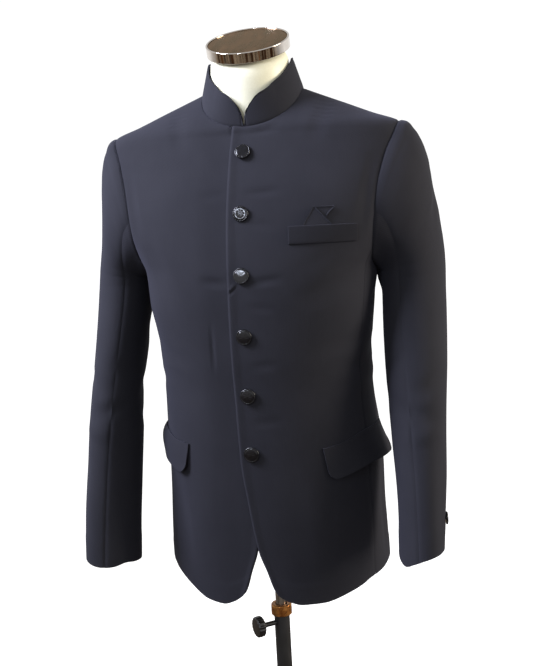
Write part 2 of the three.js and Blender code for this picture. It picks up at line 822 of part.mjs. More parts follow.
// A solid of revolution about Z: an outline from axis to axis, or a closed loop off the axis.
function latheGeometry(outline, segments, scallop = () => 1) {
  const points = [];
  const rows = outline.map(([radius, height]) => Array.from({ length: segments }, (_, k) => {
    if (radius === 0 && k > 0) return points.length - 1;
    const turn = 2 * Math.PI * k / segments;
    const r = radius * scallop(turn, radius);
    points.push(new THREE.Vector3(r * Math.cos(turn), r * Math.sin(turn), height));
    return points.length - 1;
  }));
  const faces = [];
  const triangle = (a, b, c) => {
    if (a !== b && b !== c && c !== a) faces.push(a, b, c);
  };
  const last = outline[0][0] === 0 ? rows.length - 1 : rows.length;
  for (let i = 0; i < last; i += 1) {
    const next = rows[(i + 1) % rows.length];
    for (let k = 0; k < segments; k += 1) {
      const m = (k + 1) % segments;
      triangle(rows[i][k], rows[i][m], next[m]);
      triangle(rows[i][k], next[m], next[k]);
    }
  }
  return solidGeometry(points, faces);
}

// Domed button with a raised rim on a short shank; the outline is for radius 11.6.
const buttonOutline = [
  [0, 0], [3, 0], [3, 1.7], [10.6, 1.7], [11.6, 2.7], [11.6, 3.8], [10.9, 4.5], [9.8, 4.5],
  [9.2, 3.8], [6.5, 5.3], [3.4, 6], [0, 6.2],
];

function placeButton(name, radius, segments, point, outward) {
  const size = radius / buttonRadius;
  const outline = buttonOutline.map(([r, h]) => [r * size, h * size]);
  const button = addPiece(name, latheGeometry(outline, segments), colours.button);
  button.position.copy(point).addScaledVector(outward, seat);
  button.quaternion.setFromUnitVectors(new THREE.Vector3(0, 0, 1), outward);
}

// Where a ray meets a piece from outside.
function seatOn(name, from, inward) {
  const piece = model.getObjectByName(name);
  piece.material.side = THREE.DoubleSide;
  const hits = new THREE.Raycaster(from, inward).intersectObject(piece);
  piece.material.side = THREE.FrontSide;
  return { point: hits[0].point, outward: hits[0].face.normal.clone() };
}

function makeButtons() {
  for (let k = 0; k < frontButtons; k += 1) {
    const height = topButtonHeight - buttonSpacing * k;
    const face = facePoint(0, height, false);
    const outward = torsoGradient(face.x, face.y, face.z).setX(0).normalize();
    const from = face.setZ(face.z + hemLevel).addScaledVector(outward, 30);
    const { point } = seatOn('left_front', from, outward.clone().negate());
    placeButton(`front_button_${k + 1}`, buttonRadius, 20, point, outward);
  }
}

const cuffButtonRise = 55;
const cuffButtonTurns = { left: -19, right: -8 };

function makeCuffButton(side, way) {
  const height = cuffLevels[side] + cuffButtonRise;
  const s = sleeveTables[side](height);
  const twist = THREE.MathUtils.degToRad(s.twist);
  const turn = THREE.MathUtils.degToRad(cuffButtonTurns[side]);
  const across = s.halfWidth * Math.cos(turn);
  const along = s.halfDepth * Math.sin(turn);
  const aim = new THREE.Vector3(
    way * Math.cos(turn + twist),
    Math.sin(turn + twist),
    0,
  );
  const from = new THREE.Vector3(
    way * (s.centreX + across * Math.cos(twist) - along * Math.sin(twist)),
    s.centreY + across * Math.sin(twist) + along * Math.cos(twist),
    height + hemLevel,
  ).addScaledVector(aim, 40);
  const { point, outward } = seatOn(`${side}_top_sleeve`, from, aim.negate());
  placeButton(`${side}_cuff_button`, cuffButtonRadius, 14, point, outward);
}

// The form keeps inside the cloth: close under the shoulders, further off elsewhere.
function formClearance(x, height) {
  const inShoulder = ramp(85, 120, Math.abs(x)) * ramp(600, 675, height);
  return mix(7.5, 4.6, inShoulder) + 2 * ramp(190, 215, Math.abs(x));
}

function formBodyRadius(way, centre, height) {
  let low = 0;
  let high = 260;
  for (let n = 0; n < 40; n += 1) {
    const middle = (low + high) / 2;
    const x = way.x * middle;
    const y = centre + way.y * middle;
    const distance = (torsoLevel(x, y, height) - 1) / torsoGradient(x, y, height).length();
    if (distance < -formClearance(x, height)) low = middle;
    else high = middle;
  }
  const plate = armholeTable(height).frontX - 7;
  return height > underarmLevel ? Math.min(low, plate / Math.max(0.001, Math.abs(way.x))) : low;
}

function formNeckRadius(way, s) {
  return 1 / Math.hypot(way.x / s.halfWidth, way.y / s.halfDepth);
}

const formDirections = 40;
const formHeights = [
  70, 76, 120, 170, 220, 262, 303, 340, 380, 425, 455, 478, 505, 535, 565, 595, 620, 640, 657,
  670, 680, 688, 695, 702, 709, 716, 723, 731, 740, 752,
];
const neckRings = [774, 804];
const neckStart = 688;
const bodyEnd = 752;
const footInset = 5;

function formRing(height) {
  const s = neckTable(height);
  const centre = height < 690 ? 1 : s.middle;
  return Array.from({ length: formDirections }, (_, k) => {
    const t = 2 * Math.PI * k / formDirections;
    const turn = t - 0.38 * Math.sin(2 * t);
    const way = { x: Math.cos(turn), y: Math.sin(turn) };
    const body = height < bodyEnd ? formBodyRadius(way, centre, height) : 0;
    const neck = height >= neckStart ? formNeckRadius(way, s) : 0;
    const foot = height === formBottom ? footInset : 0;
    const radius = Math.max(body, neck) - foot;
    const tilt = THREE.MathUtils.degToRad(s.tilt);
    const y = way.y * radius;
    const level = hemLevel + height + y * Math.sin(tilt);
    return new THREE.Vector3(way.x * radius, centre + y * Math.cos(tilt), level);
  });
}

function makeForm() {
  const rings = [...formHeights, ...neckRings].map(formRing);
  const points = rings.flat();
  const faces = [];
  const at = (i, k) => i * formDirections + (k % formDirections);
  for (let i = 0; i < rings.length - 1; i += 1) {
    for (let k = 0; k < formDirections; k += 1) {
      faces.push(at(i, k), at(i, k + 1), at(i + 1, k + 1), at(i, k), at(i + 1, k + 1), at(i + 1, k));
    }
  }
  const close = (i, down) => {
    const centre = rings[i].reduce((sum, p) => sum.add(p), new THREE.Vector3()).divideScalar(formDirections);
    points.push(centre);
    for (let k = 0; k < formDirections; k += 1) {
      if (down) faces.push(at(i, k + 1), at(i, k), points.length - 1);
      else faces.push(at(i, k), at(i, k + 1), points.length - 1);
    }
  };
  close(0, true);
  close(rings.length - 1, false);
  addPiece('dress_form', solidGeometry(points, faces), colours.form);
}

const bandHeight = 16;
const bandWall = 3;

function makeNeckCap() {
  const cap = new THREE.Group();
  cap.position.copy(capCentre);
  cap.rotation.x = capTilt;
  model.add(cap);
  const inner = capRadius - bandWall;
  const band = tubeOutline(inner, capRadius, -bandHeight, 0);
  addPiece('neck_band', latheGeometry(band, 40), colours.chrome, cap);
  const disc = rodOutline(inner - seamGap, -bandHeight, -1);
  addPiece('neck_cap', latheGeometry(disc, 40), colours.bronze, cap);
}

const poleFoot = 400;
const socketFloor = 14;
const knobLevel = 596;
const knobWay = new THREE.Vector3(-0.78, -0.62, 0).normalize();
const knobStem = 4;

// Rectangle of a tube's wall as a closed loop off the axis.
function tubeOutline(inner, outer, bottom, top) {
  return [[inner, bottom], [outer, bottom], [outer, top], [inner, top]];
}

// Rectangle of a rod as an outline from axis to axis.
function rodOutline(radius, bottom, top) {
  return [[0, bottom], [radius, bottom], [radius, top], [0, top]];
}

function turnToKnob(geometry) {
  const turn = new THREE.Quaternion().setFromUnitVectors(new THREE.Vector3(0, 0, 1), knobWay);
  return geometry.applyQuaternion(turn).translate(0, 0, knobLevel);
}

function makeBase() {
  const socket = tubeRadius + seamGap;
  const outline = [
    [0, 0], [baseRadius, 0], [baseRadius, 6], [baseRadius - 7, 10], [60, 15], [24, 18],
    [22, 44], [socket, 44], [socket, socketFloor], [0, socketFloor],
  ];
  addPiece('base_plate', latheGeometry(outline, 48), colours.black);
}

function makeTube() {
  const outline = tubeOutline(tubeBore, tubeRadius, socketFloor + seamGap, ringBottom - seamGap);
  const tube = manifoldOf(latheGeometry(outline, 32));
  const hole = rodOutline(knobStem + 0.4, tubeBore - 2, tubeRadius + 5);
  const drill = manifoldOf(turnToKnob(latheGeometry(hole, 16)));
  addPiece('stand_tube', geometryOf(tube.subtract(drill)), colours.black);
}

function makeKnob() {
  const tip = poleRadius + seamGap;
  const outline = [
    [0, tip], [knobStem, tip], [knobStem, 32], [9, 33], [9, 35],
    [15.5, 36], [17, 38], [17, 46], [15.5, 48], [0, 48.5],
  ];
  const scallop = (turn, radius) => (radius > 10 ? 1 - 0.06 * Math.cos(8 * turn) ** 2 : 1);
  addPiece('height_knob', turnToKnob(latheGeometry(outline, 48, scallop)), colours.black);
}

function makeStand() {
  makeBase();
  makeTube();
  const ring = tubeOutline(tubeBore, ringRadius, ringBottom, ringTop);
  addPiece('clamp_ring', latheGeometry(ring, 32), colours.brass);
  const pole = rodOutline(poleRadius, poleFoot, hemLevel + formBottom - seamGap);
  addPiece('pole', latheGeometry(pole, 32), colours.chrome);
  makeKnob();
}

makeBody();
sides.forEach(([side, way]) => makeSleeve(side, way));
makeCollar();
makeChestPocket();
sides.forEach(([side, way]) => makeFlap(side, way));
makeButtons();
sides.forEach(([side, way]) => makeCuffButton(side, way));
makeForm();
makeNeckCap();
makeStand();

export default model;
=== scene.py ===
import math

import bmesh
import bpy
from mathutils import Matrix, Vector


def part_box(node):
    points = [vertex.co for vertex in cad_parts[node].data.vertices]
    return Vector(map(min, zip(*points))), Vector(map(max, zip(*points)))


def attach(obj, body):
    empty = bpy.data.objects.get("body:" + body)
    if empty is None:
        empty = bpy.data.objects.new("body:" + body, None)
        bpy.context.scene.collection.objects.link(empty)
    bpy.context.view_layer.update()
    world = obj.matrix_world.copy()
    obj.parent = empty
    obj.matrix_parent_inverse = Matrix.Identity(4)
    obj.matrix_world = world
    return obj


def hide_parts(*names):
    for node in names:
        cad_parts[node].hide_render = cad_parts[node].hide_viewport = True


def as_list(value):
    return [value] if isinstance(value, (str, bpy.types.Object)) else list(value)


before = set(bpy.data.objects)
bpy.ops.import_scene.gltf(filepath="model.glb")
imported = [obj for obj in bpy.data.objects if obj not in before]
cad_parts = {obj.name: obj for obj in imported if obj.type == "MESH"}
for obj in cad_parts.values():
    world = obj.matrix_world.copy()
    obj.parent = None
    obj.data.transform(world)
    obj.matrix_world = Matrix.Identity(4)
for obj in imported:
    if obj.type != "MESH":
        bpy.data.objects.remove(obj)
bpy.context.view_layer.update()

# Metres in the frame, millimetres in the tables. The wearer faces -Y and +X is the wearer's left.
millimetre = 0.001
sideWays = {"left": 1, "right": -1}
print("frame loaded")


# Camera

cameraView = {
    "position": (0.3646, -1.5794, 1.3155),
    "heading": 12.97,  # degrees round from square in front of the jacket
    "down": 8.5,
    "roll": -3.24,
    "lens": 56.4,
}


def makeCamera(view):
    heading, down, roll = (math.radians(view[key]) for key in ("heading", "down", "roll"))
    ahead = Vector((-math.sin(heading) * math.cos(down), math.cos(heading) * math.cos(down), -math.sin(down)))
    level = Vector((math.cos(heading), math.sin(heading), 0))
    upright = level.cross(ahead)
    right = level * math.cos(roll) + upright * math.sin(roll)
    up = upright * math.cos(roll) - level * math.sin(roll)
    camera = bpy.data.objects.new("camera", bpy.data.cameras.new("camera"))
    turned = Matrix((right, up, -ahead)).transposed().to_4x4()
    camera.matrix_world = Matrix.Translation(view["position"]) @ turned
    camera.data.lens = view["lens"]
    camera.data.sensor_width = 36
    camera.data.clip_start = 0.01
    bpy.context.scene.collection.objects.link(camera)
    bpy.context.scene.camera = camera


makeCamera(cameraView)
print("camera set")


# Numbers

def mix(a, b, share):
    return a + (b - a) * share


def clamp(value, low=0.0, high=1.0):
    return max(low, min(high, value))


def ramp(low, high, value):
    share = clamp((value - low) / (high - low))
    return share * share * (3 - 2 * share)


def smoothTable(names, rows):
    # columns of a short table, read smoothly at any place without overshoot
    places = [row[0] for row in rows]
    last = len(rows) - 1
    steps = []
    for low, high in zip(rows, rows[1:]):
        steps.append([(b - a) / (high[0] - low[0]) for a, b in zip(low, high)])
    slopes = [steps[0]]
    for before, after in zip(steps, steps[1:]):
        slopes.append([2 * a * b / (a + b) if a * b > 0 else 0.0 for a, b in zip(before, after)])
    slopes.append(steps[-1])
    kept = {}

    def read(place):
        p = clamp(place, places[0], places[-1])
        if p in kept:
            return kept[p]
        i = 0
        while i < last - 1 and p > places[i + 1]:
            i += 1
        span = places[i + 1] - places[i]
        t = (p - places[i]) / span
        start, end = (1 + 2 * t) * (1 - t) ** 2, t * t * (3 - 2 * t)
        leave, arrive = span * t * (1 - t) ** 2, span * t * t * (1 - t)
        columns = zip(names, rows[i], rows[i + 1], slopes[i], slopes[i + 1])
        kept[p] = {name: start * a + end * b + leave * sa - arrive * sb for name, a, b, sa, sb in columns}
        return kept[p]

    return read


def bisect(low, high, isLow):
    for _ in range(32):
        middle = (low + high) / 2
        if isLow(middle):
            low = middle
        else:
            high = middle
    return (low + high) / 2


# Materials

def linear(hexColour):
    channels = [int(hexColour[i:i + 2], 16) / 255 for i in (1, 3, 5)]
    return tuple(c / 12.92 if c <= 0.04045 else ((c + 0.055) / 1.055) ** 2.4 for c in channels) + (1.0,)


def addNode(tree, kind, settings=None, links=None):
    # one node with its settings, and its inputs fed from (node, output) pairs
    node = tree.nodes.new(kind)
    for key, value in (settings or {}).items():
        if hasattr(node, key):
            setattr(node, key, value)
        else:
            node.inputs[key].default_value = value
    for key, (source, output) in (links or {}).items():
        tree.links.new(source.outputs[output], node.inputs[key])
    return node


def newMaterial(name, settings):
    material = bpy.data.materials.new(name)
    material.use_nodes = True
    shader = material.node_tree.nodes["Principled BSDF"]
    for key, value in settings.items():
        shader.inputs[key].default_value = value
    return material, material.node_tree, shader


def twoTones(tree, shader, source, tones, span):
    # base colour that wanders between two close tones
    colours = addNode(tree, "ShaderNodeValToRGB", {}, {"Fac": source})
    for stop, tone, place in zip(colours.color_ramp.elements, tones, span):
        stop.color = linear(tone)
        stop.position = place
    tree.links.new(colours.outputs["Color"], shader.inputs["Base Color"])


def blendOf(tree, first, second, share):
    return addNode(tree, "ShaderNodeMix", {"data_type": "FLOAT", "Factor": share}, {"A": first, "B": second})


suitingLook = {
    "tones": ("#1c1c21", "#242429"),
    "toneSpan": (0.3, 0.7),
    "waleSpacing": 1.7,  # mm, coarser than the real 0.6 mm so that the twill shows at all
    "waleLean": 58,  # degrees from the weft
    "slub": (1.8, 30),  # mm across and along the warp
    "slubShare": 0.45,  # against the wales
    "cloud": 110,  # mm, the uneven bloom that pressing leaves
    "cloudShare": 0.5,  # against the threads
    "bump": 0.3,
    "threadDepth": 0.4,  # mm
}
waveRepeat = 0.314  # the wave texture repeats after this length at a scale of 1


def makeSuiting(look):
    # worsted wool twill, pressed: matt dark navy, a faint diagonal and a soft bloom at grazing angles
    material, tree, shader = newMaterial("worstedTwill", {
        "Roughness": 0.85,
        "Specular IOR Level": 0.1,
        "Sheen Weight": 0.08,
        "Sheen Roughness": 0.5,
        "Sheen Tint": linear("#a3a6c4"),
    })
    cloth = addNode(tree, "ShaderNodeUVMap", {"uv_map": "weave"})
    turned = addNode(tree, "ShaderNodeMapping", {"Rotation": (0, 0, math.radians(look["waleLean"]))},
                     {"Vector": (cloth, "UV")})
    wales = addNode(tree, "ShaderNodeTexWave", {
        "Scale": waveRepeat / (look["waleSpacing"] * millimetre),
        "Distortion": 0.8,
        "Detail": 2,
        "Detail Scale": 2,
    }, {"Vector": (turned, "Vector")})
    drawn = addNode(tree, "ShaderNodeMapping", {
        "Scale": (1000 / look["slub"][0], 1000 / look["slub"][1], 1),
    }, {"Vector": (cloth, "UV")})
    slubs = addNode(tree, "ShaderNodeTexNoise", {"Scale": 1, "Detail": 3, "Roughness": 0.6},
                    {"Vector": (drawn, "Vector")})
    clouds = addNode(tree, "ShaderNodeTexNoise", {"Scale": 1000 / look["cloud"], "Detail": 3},
                     {"Vector": (cloth, "UV")})
    threads = blendOf(tree, (wales, "Fac"), (slubs, "Fac"), look["slubShare"])
    clouded = blendOf(tree, (threads, "Result"), (clouds, "Fac"), look["cloudShare"])
    twoTones(tree, shader, (clouded, "Result"), look["tones"], look["toneSpan"])
    bump = addNode(tree, "ShaderNodeBump", {
        "Strength": look["bump"], "Distance": look["threadDepth"] * millimetre,
    }, {"Height": (threads, "Result")})
    tree.links.new(bump.outputs["Normal"], shader.inputs["Normal"])
    return material


finishMix = {
    "patchShare": 0.6,  # of the broad patches, against the fine grain
    "toneSpan": (0.38, 0.62),
    "glossSpan": (0.35, 0.65),
    "grainDepth": 0.2,  # mm
}


def makeFinish(name, settings, look):
    # a finish with two close tones, a grain and patches in mm, a fine bump and uneven gloss
    material, tree, shader = newMaterial(name, settings)
    place = addNode(tree, "ShaderNodeTexCoord")
    fine = addNode(tree, "ShaderNodeTexNoise", {"Scale": 1000 / look["grain"], "Detail": 4, "Roughness": 0.6},
                   {"Vector": (place, "Object")})
    drawn = addNode(tree, "ShaderNodeMapping", {"Scale": look.get("stretch", (1, 1, 1))},
                    {"Vector": (place, "Object")})
    broad = addNode(tree, "ShaderNodeTexNoise", {"Scale": 1000 / look["patch"], "Detail": 3},
                    {"Vector": (drawn, "Vector")})
    both = blendOf(tree, (fine, "Fac"), (broad, "Fac"), finishMix["patchShare"])
    twoTones(tree, shader, (both, "Result"), look["tones"], finishMix["toneSpan"])
    gloss = addNode(tree, "ShaderNodeMapRange", {
        "From Min": finishMix["glossSpan"][0], "From Max": finishMix["glossSpan"][1],
        "To Min": look["gloss"][0], "To Max": look["gloss"][1],
    }, {"Value": (broad, "Fac")})
    tree.links.new(gloss.outputs["Result"], shader.inputs["Roughness"])
    bump = addNode(tree, "ShaderNodeBump", {
        "Strength": look["bump"], "Distance": finishMix["grainDepth"] * millimetre,
    }, {"Height": (fine, "Fac")})
    tree.links.new(bump.outputs["Normal"], shader.inputs["Normal"])
    return material


suiting = makeSuiting(suitingLook)
# polished black polyester resin: nearly no colour of its own, only what it mirrors
buttonResin = makeFinish("polishedResin", {"IOR": 1.45}, {
    "tones": ("#08080a", "#101015"), "grain": 0.7, "patch": 5, "gloss": (0.03, 0.06), "bump": 0.01,
})
# cream gel-coated glass fibre: satin, very slightly orange-peeled
gelCoat = makeFinish("gelCoat", {"IOR": 1.5, "Specular IOR Level": 0.35}, {
    "tones": ("#d0cdb4", "#d9d6c0"), "grain": 2.5, "patch": 60, "gloss": (0.38, 0.48), "bump": 0.08,
})
# chromed steel: a mirror with faint wipe marks
chrome = makeFinish("chromedSteel", {"Metallic": 1.0}, {
    "tones": ("#cdc4bb", "#e0d9d2"), "grain": 1.2, "patch": 24, "gloss": (0.03, 0.08), "bump": 0.01,
})
# bronze-tinted plate: brown and glossy, dulled in long streaks by handling
bronzePlate = makeFinish("bronzedPlate", {"Metallic": 1.0, "Specular Tint": linear("#e8dccd")}, {
    "tones": ("#52463a", "#7f6954"), "grain": 1.0, "patch": 30, "gloss": (0.2, 0.42), "bump": 0.1,
    "stretch": (2.2, 0.7, 1),
})
# lacquered brass: orange, a little burnt where it was brazed
lacqueredBrass = makeFinish("lacqueredBrass", {"Metallic": 0.75}, {
    "tones": ("#8a4f22", "#cf9450"), "grain": 1.0, "patch": 12, "gloss": (0.22, 0.42), "bump": 0.15,
})
# drawn steel, zinc plated: grey with fine lines along the bar
platedSteel = makeFinish("platedSteel", {"Metallic": 1.0}, {
    "tones": ("#77716b", "#9b958e"), "grain": 0.9, "patch": 20, "gloss": (0.22, 0.36), "bump": 0.1,
    "stretch": (4, 4, 0.3),
})
# black powder coat: half matt with a fine orange peel
powderCoat = makeFinish("blackPowderCoat", {"IOR": 1.5}, {
    "tones": ("#111113", "#1b1b1e"), "grain": 1.1, "patch": 40, "gloss": (0.42, 0.56), "bump": 0.3,
})
# moulded nylon: black and satin
mouldedNylon = makeFinish("mouldedNylon", {"IOR": 1.53}, {
    "tones": ("#0c0c0d", "#171719"), "grain": 1.4, "patch": 10, "gloss": (0.28, 0.4), "bump": 0.12,
})
print("materials made")


# Finishing of every piece

def linkPiece(name, bm, material):
    bmesh.ops.scale(bm, vec=(millimetre,) * 3, verts=bm.verts)
    mesh = bpy.data.meshes.new(name)
    bm.to_mesh(mesh)
    bm.free()
    mesh.shade_smooth()
    mesh.materials.append(material)
    piece = bpy.data.objects.new(name, mesh)
    bpy.context.scene.collection.objects.link(piece)
    return piece


def roundEdges(piece, width, segments=2, sharpest=35):
    bevel = piece.modifiers.new("roundEdges", "BEVEL")
    bevel.width = width * millimetre
    bevel.segments = segments
    bevel.limit_method = "ANGLE"
    bevel.angle_limit = math.radians(sharpest)
    shading = piece.modifiers.new("evenShading", "WEIGHTED_NORMAL")
    shading.keep_sharp = True


def standFor(piece, body, node):
    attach(piece, body)
    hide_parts(node)


# The jacket's outer face, level by level, measured from the pole's axis

hemLevel = 700  # the zero of every height below

torso = smoothTable(("height", "halfWidth", "front", "back", "middle", "power"), [
    (-40, 175, 128, 174, 38, 2.3),
    (60, 173.5, 132, 170, 33, 2.3),
    (140, 170, 135, 160, 24, 2.3),
    (220, 167.5, 136, 143, 15, 2.3),
    (303, 162, 137, 124, 7, 2.3),
    (360, 165, 139, 120, 0, 2.35),
    (425, 172, 139, 122, -8, 2.4),
    (478, 176, 136, 126, -8, 2.4),
    (505, 188, 132, 129, -6, 2.4),
    (540, 208, 124, 130, -3, 2.35),
    (590, 226, 108, 127, 0, 2.3),
    (640, 233, 87, 116, 2, 2.2),
    (670, 230, 75, 102, 1, 2.1),
    (680, 225.5, 71, 97, 0, 2.1),
    (686, 220, 69.5, 93, 0, 2.05),
    (701, 181, 60, 82, 0, 2),
    (718, 140, 42, 70, 1, 2),
    (731, 108, 27, 60, 2, 2),
    (744, 77, 12, 46, 3, 2),
    (770, 20, 4, 20, 3, 2),
])

armhole = smoothTable(("height", "frontX", "backX"), [
    (478, 176, 176),
    (490, 176.5, 177),
    (505, 179.5, 180),
    (540, 184, 187),
    (590, 190, 198),
    (640, 202, 210),
    (670, 214, 217),
    (686, 220, 220),
])

# how far the front edge passes the centre line, with the cutaway below the last button
frontEdge = smoothTable(("height", "lap"), [
    (-3, -24),
    (5, -20),
    (30, -12),
    (62, -1),
    (95, 5),
    (140, 11),
    (205, 18.5),
    (300, 21),
    (388, 22.5),
    (470, 22),
    (560, 22.5),
    (640, 21.5),
    (690, 18),
])

frontHems = {
    "left": smoothTable(("across", "height"), [
        (24, -3), (33, -11), (44, -17), (62, -22), (90, -22), (130, -13), (160, -3),
    ]),
    "right": smoothTable(("across", "height"), [
        (24, -3), (33, -12), (44, -19), (60, -24), (85, -21), (120, -3), (160, 18),
    ]),
}

bodyCut = {
    "wall": 2,
    "lapStep": 2.4,  # the right front lies this much under the left one
    "lapReach": 18,
    "edgeFoot": -3,
    "backHem": -6,
    "sideHems": {"left": -3, "right": 18},
    "seamHemAngle": 25,
    "underarmLevel": 478,
    "armholeCorner": 505,
    "armholeTop": 686,
    "ridgePower": 2.2,
    "neckHalfWidth": 77,
    "neckSideHeight": 744,
    "neckDrops": {"front": 54, "back": 13},
    "neckShare": 0.52,  # where the shoulder seam starts, counted across the piece
    "cornerShare": 0.66,  # where the armhole starts, counted up the piece
    "edgeBlend": 0.25,  # share of the width that follows the front edge above that
    "holeBlend": 0.4,  # and where the rest starts to follow the armhole
    "hemBlend": 0.9,  # where the hem starts to meet the side panel's
    "seamBlend": 0.15,  # share of a side panel's width that keeps to its seams up to the armhole
    "turnShare": 0.75,  # where the rest of it starts to turn towards the armhole's curve
}


def levelOf(point):
    # 1 on the outer face, more outside it
    s = torso(point.z)
    depth = s["middle"] + s["front"] if point.y < s["middle"] else s["back"] - s["middle"]
    across = abs(point.x / s["halfWidth"]) ** s["power"]
    along = abs((point.y - s["middle"]) / depth) ** s["power"]
    return (across + along) ** (1 / s["power"])


def outwardAt(point):
    steps = (Vector((0.5, 0, 0)), Vector((0, 0.5, 0)), Vector((0, 0, 0.5)))
    return Vector([levelOf(point + step) - levelOf(point - step) for step in steps]).normalized()


def facePoint(x, height, onBack=False):
    s = torso(height)
    ratio = min(1.0, abs(x) / s["halfWidth"])
    share = max(0.0, 1 - ratio ** s["power"]) ** (1 / s["power"])
    depth = s["back"] - s["middle"] if onBack else -(s["middle"] + s["front"])
    return Vector((x, s["middle"] + depth * share, height))


def anglePoint(angle, height):
    # -90 degrees is the front, 0 the side and 90 the back
    s = torso(height)
    turn = math.radians(angle)
    across = abs(math.cos(turn)) ** (2 / s["power"])
    along = abs(math.sin(turn)) ** (2 / s["power"])
    depth = s["back"] - s["middle"] if angle > 0 else -(s["middle"] + s["front"])
    return Vector((s["halfWidth"] * across, s["middle"] + depth * along, height))


def angleOf(x, height):
    s = torso(height)
    return math.degrees(math.acos(min(1.0, (x / s["halfWidth"]) ** (s["power"] / 2))))


girthSteps = 45  # to a quarter turn
girthSpacing = 6  # mm between the levels that are measured
girths = {}


def girthOf(point):
    # distance round the body from the centre of the front, the same on both sides of every seam
    level = round(point.z / girthSpacing)
    if level not in girths:
        runs = [0.0]
        before = anglePoint(-90, level * girthSpacing)
        for k in range(1, 2 * girthSteps + 1):
            after = anglePoint(-90 + k * 90 / girthSteps, level * girthSpacing)
            runs.append(runs[-1] + (after - before).length)
            before = after
        girths[level] = runs
    s = torso(point.z)
    angle = angleOf(abs(point.x), point.z)
    place = (90 - angle if point.y < s["middle"] else 90 + angle) * girthSteps / 90
    i = min(int(place), 2 * girthSteps - 1)
    return mix(girths[level][i], girths[level][i + 1], place - i)


def shoulderHeight(x):
    return bisect(bodyCut["armholeTop"], bodyCut["neckSideHeight"], lambda h: torso(h)["halfWidth"] > x)


def neckHeight(x, onBack):
    rise = math.sqrt(max(0.0, 1 - (x / bodyCut["neckHalfWidth"]) ** 2))
    return bodyCut["neckSideHeight"] - bodyCut["neckDrops"]["back" if onBack else "front"] * rise


def seamAngle(height, onBack):
    corner = bodyCut["armholeCorner"]
    hole = armhole(corner)
    top = angleOf(hole["backX" if onBack else "frontX"], corner)
    angle = mix(bodyCut["seamHemAngle"], top, height / corner)
    return angle if onBack else -angle


# Folds: soft troughs and ridges, each a row of place, height, half length, half width, lean, rise

def foldTable(rows):
    folds = []
    for place, height, long, wide, lean, rise in rows:
        turn = math.radians(lean)
        folds.append((place, height, long, wide, math.cos(turn), math.sin(turn), rise))
    return folds


def foldLift(folds, place, height, wrap=None):
    lift = 0.0
    for x, z, long, wide, cosine, sine, rise in folds:
        dx, dz = place - x, height - z
        if wrap:
            dx = (dx + wrap / 2) % wrap - wrap / 2
        s = (dx * cosine + dz * sine) / long
        t = (dz * cosine - dx * sine) / wide
        if s * s < 1 and t * t < 1:
            lift += rise * ((1 - s * s) * (1 - t * t)) ** 2
    return lift


bodyFolds = {
    "left": foldTable([
        # dents beside the buttons, where the lap is pulled
        (30, 684, 34, 10, 3, -1.5),
        (32, 594, 38, 8, 2, -1.5),
        (30, 548, 28, 9, -6, -0.8),
        (30, 468, 38, 9, 6, -1.5),
        (26, 430, 26, 9, -8, -0.7),
        (26, 346, 28, 10, 6, -0.8),
        (26, 262, 28, 10, 4, -0.8),
        (-14, 456, 14, 2.6, 42, -1.5),
        (-15, 460, 14, 2.6, 42, 1.0),
        # drag lines on the chest and from the armhole
        (112, 694, 42, 18, 72, -1.8),
        (138, 486, 70, 22, 22, 1.8),
        (134, 452, 74, 22, 18, -1.8),
        (184, 590, 70, 16, 80, -2.2),
        (196, 560, 60, 14, 74, 1.2),
        # waist
        (150, 372, 80, 20, 14, -1.6),
        (190, 330, 80, 18, -8, -1.8),
        (170, 296, 70, 16, 6, 1.2),
        (240, 350, 80, 22, 10, -2.0),
        (262, 312, 70, 18, -10, 1.6),
        # skirt
        (96, 110, 130, 34, 92, 1.8),
        (150, 100, 120, 28, 88, -2.0),
        (200, 110, 130, 30, 90, 2.2),
        (250, 90, 120, 26, 92, -2.4),
        # shoulder blade and back
        (300, 560, 90, 24, 78, -2.4),
        (330, 600, 80, 26, 68, 2.2),
        (372, 500, 110, 30, 86, -1.8),
        (320, 452, 90, 24, 66, 1.8),
        (420, 690, 44, 12, 6, -1.0),
        (392, 356, 60, 16, 4, -1.8),
        (360, 326, 60, 15, -8, -1.4),
        (410, 318, 44, 12, 4, 1.0),
        (350, 130, 140, 30, 90, 2.4),
        (392, 130, 140, 28, 88, -2.2),
        (300, 110, 120, 26, 92, -2.0),
        # the skirt hangs a little to the wearer's left
        (250, 175, 75, 95, 0, 4.2),
        (246, 466, 60, 34, 0, 3.5),
    ]),
    "right": foldTable([
        (42, 468, 30, 10, 8, -1.6),
        (46, 592, 32, 10, -4, -0.8),
        (50, 372, 46, 5, 90, -1.3),
        (104, 690, 44, 18, 74, -1.6),
        (96, 430, 80, 28, 62, 1.5),
        (150, 520, 70, 24, 64, -1.6),
        (184, 586, 70, 18, 80, -2.0),
        (140, 360, 76, 18, 12, -1.6),
        (180, 318, 80, 18, -8, -1.6),
        (236, 352, 80, 22, 10, -2.0),
        (262, 312, 70, 18, -10, 1.6),
        (88, 120, 130, 34, 92, 1.8),
        (136, 110, 120, 26, 86, -2.0),
        (184, 110, 130, 30, 90, 2.2),
        (240, 90, 120, 26, 92, -2.2),
        (300, 560, 90, 24, 78, -2.2),
        (336, 604, 80, 26, 68, 2.0),
        (376, 500, 110, 30, 88, -1.8),
        (324, 448, 90, 24, 66, 1.8),
        (424, 690, 40, 12, 4, -1.0),
        (388, 350, 60, 16, 6, -1.8),
        (356, 322, 60, 15, -6, -1.4),
        (346, 130, 140, 30, 88, 2.4),
        (388, 130, 140, 28, 90, -2.2),
        (300, 110, 120, 26, 92, -2.0),
        (205, 165, 85, 140, 0, -4.0),
        (205, 385, 60, 50, 0, -2.5),
    ]),
}


def bodyLift(side, point):
    # the left front's lap carries on past the centre line
    lapped = point.x * sideWays[side] < 0
    return foldLift(bodyFolds[side], -abs(point.x) if lapped else girthOf(point), point.z)


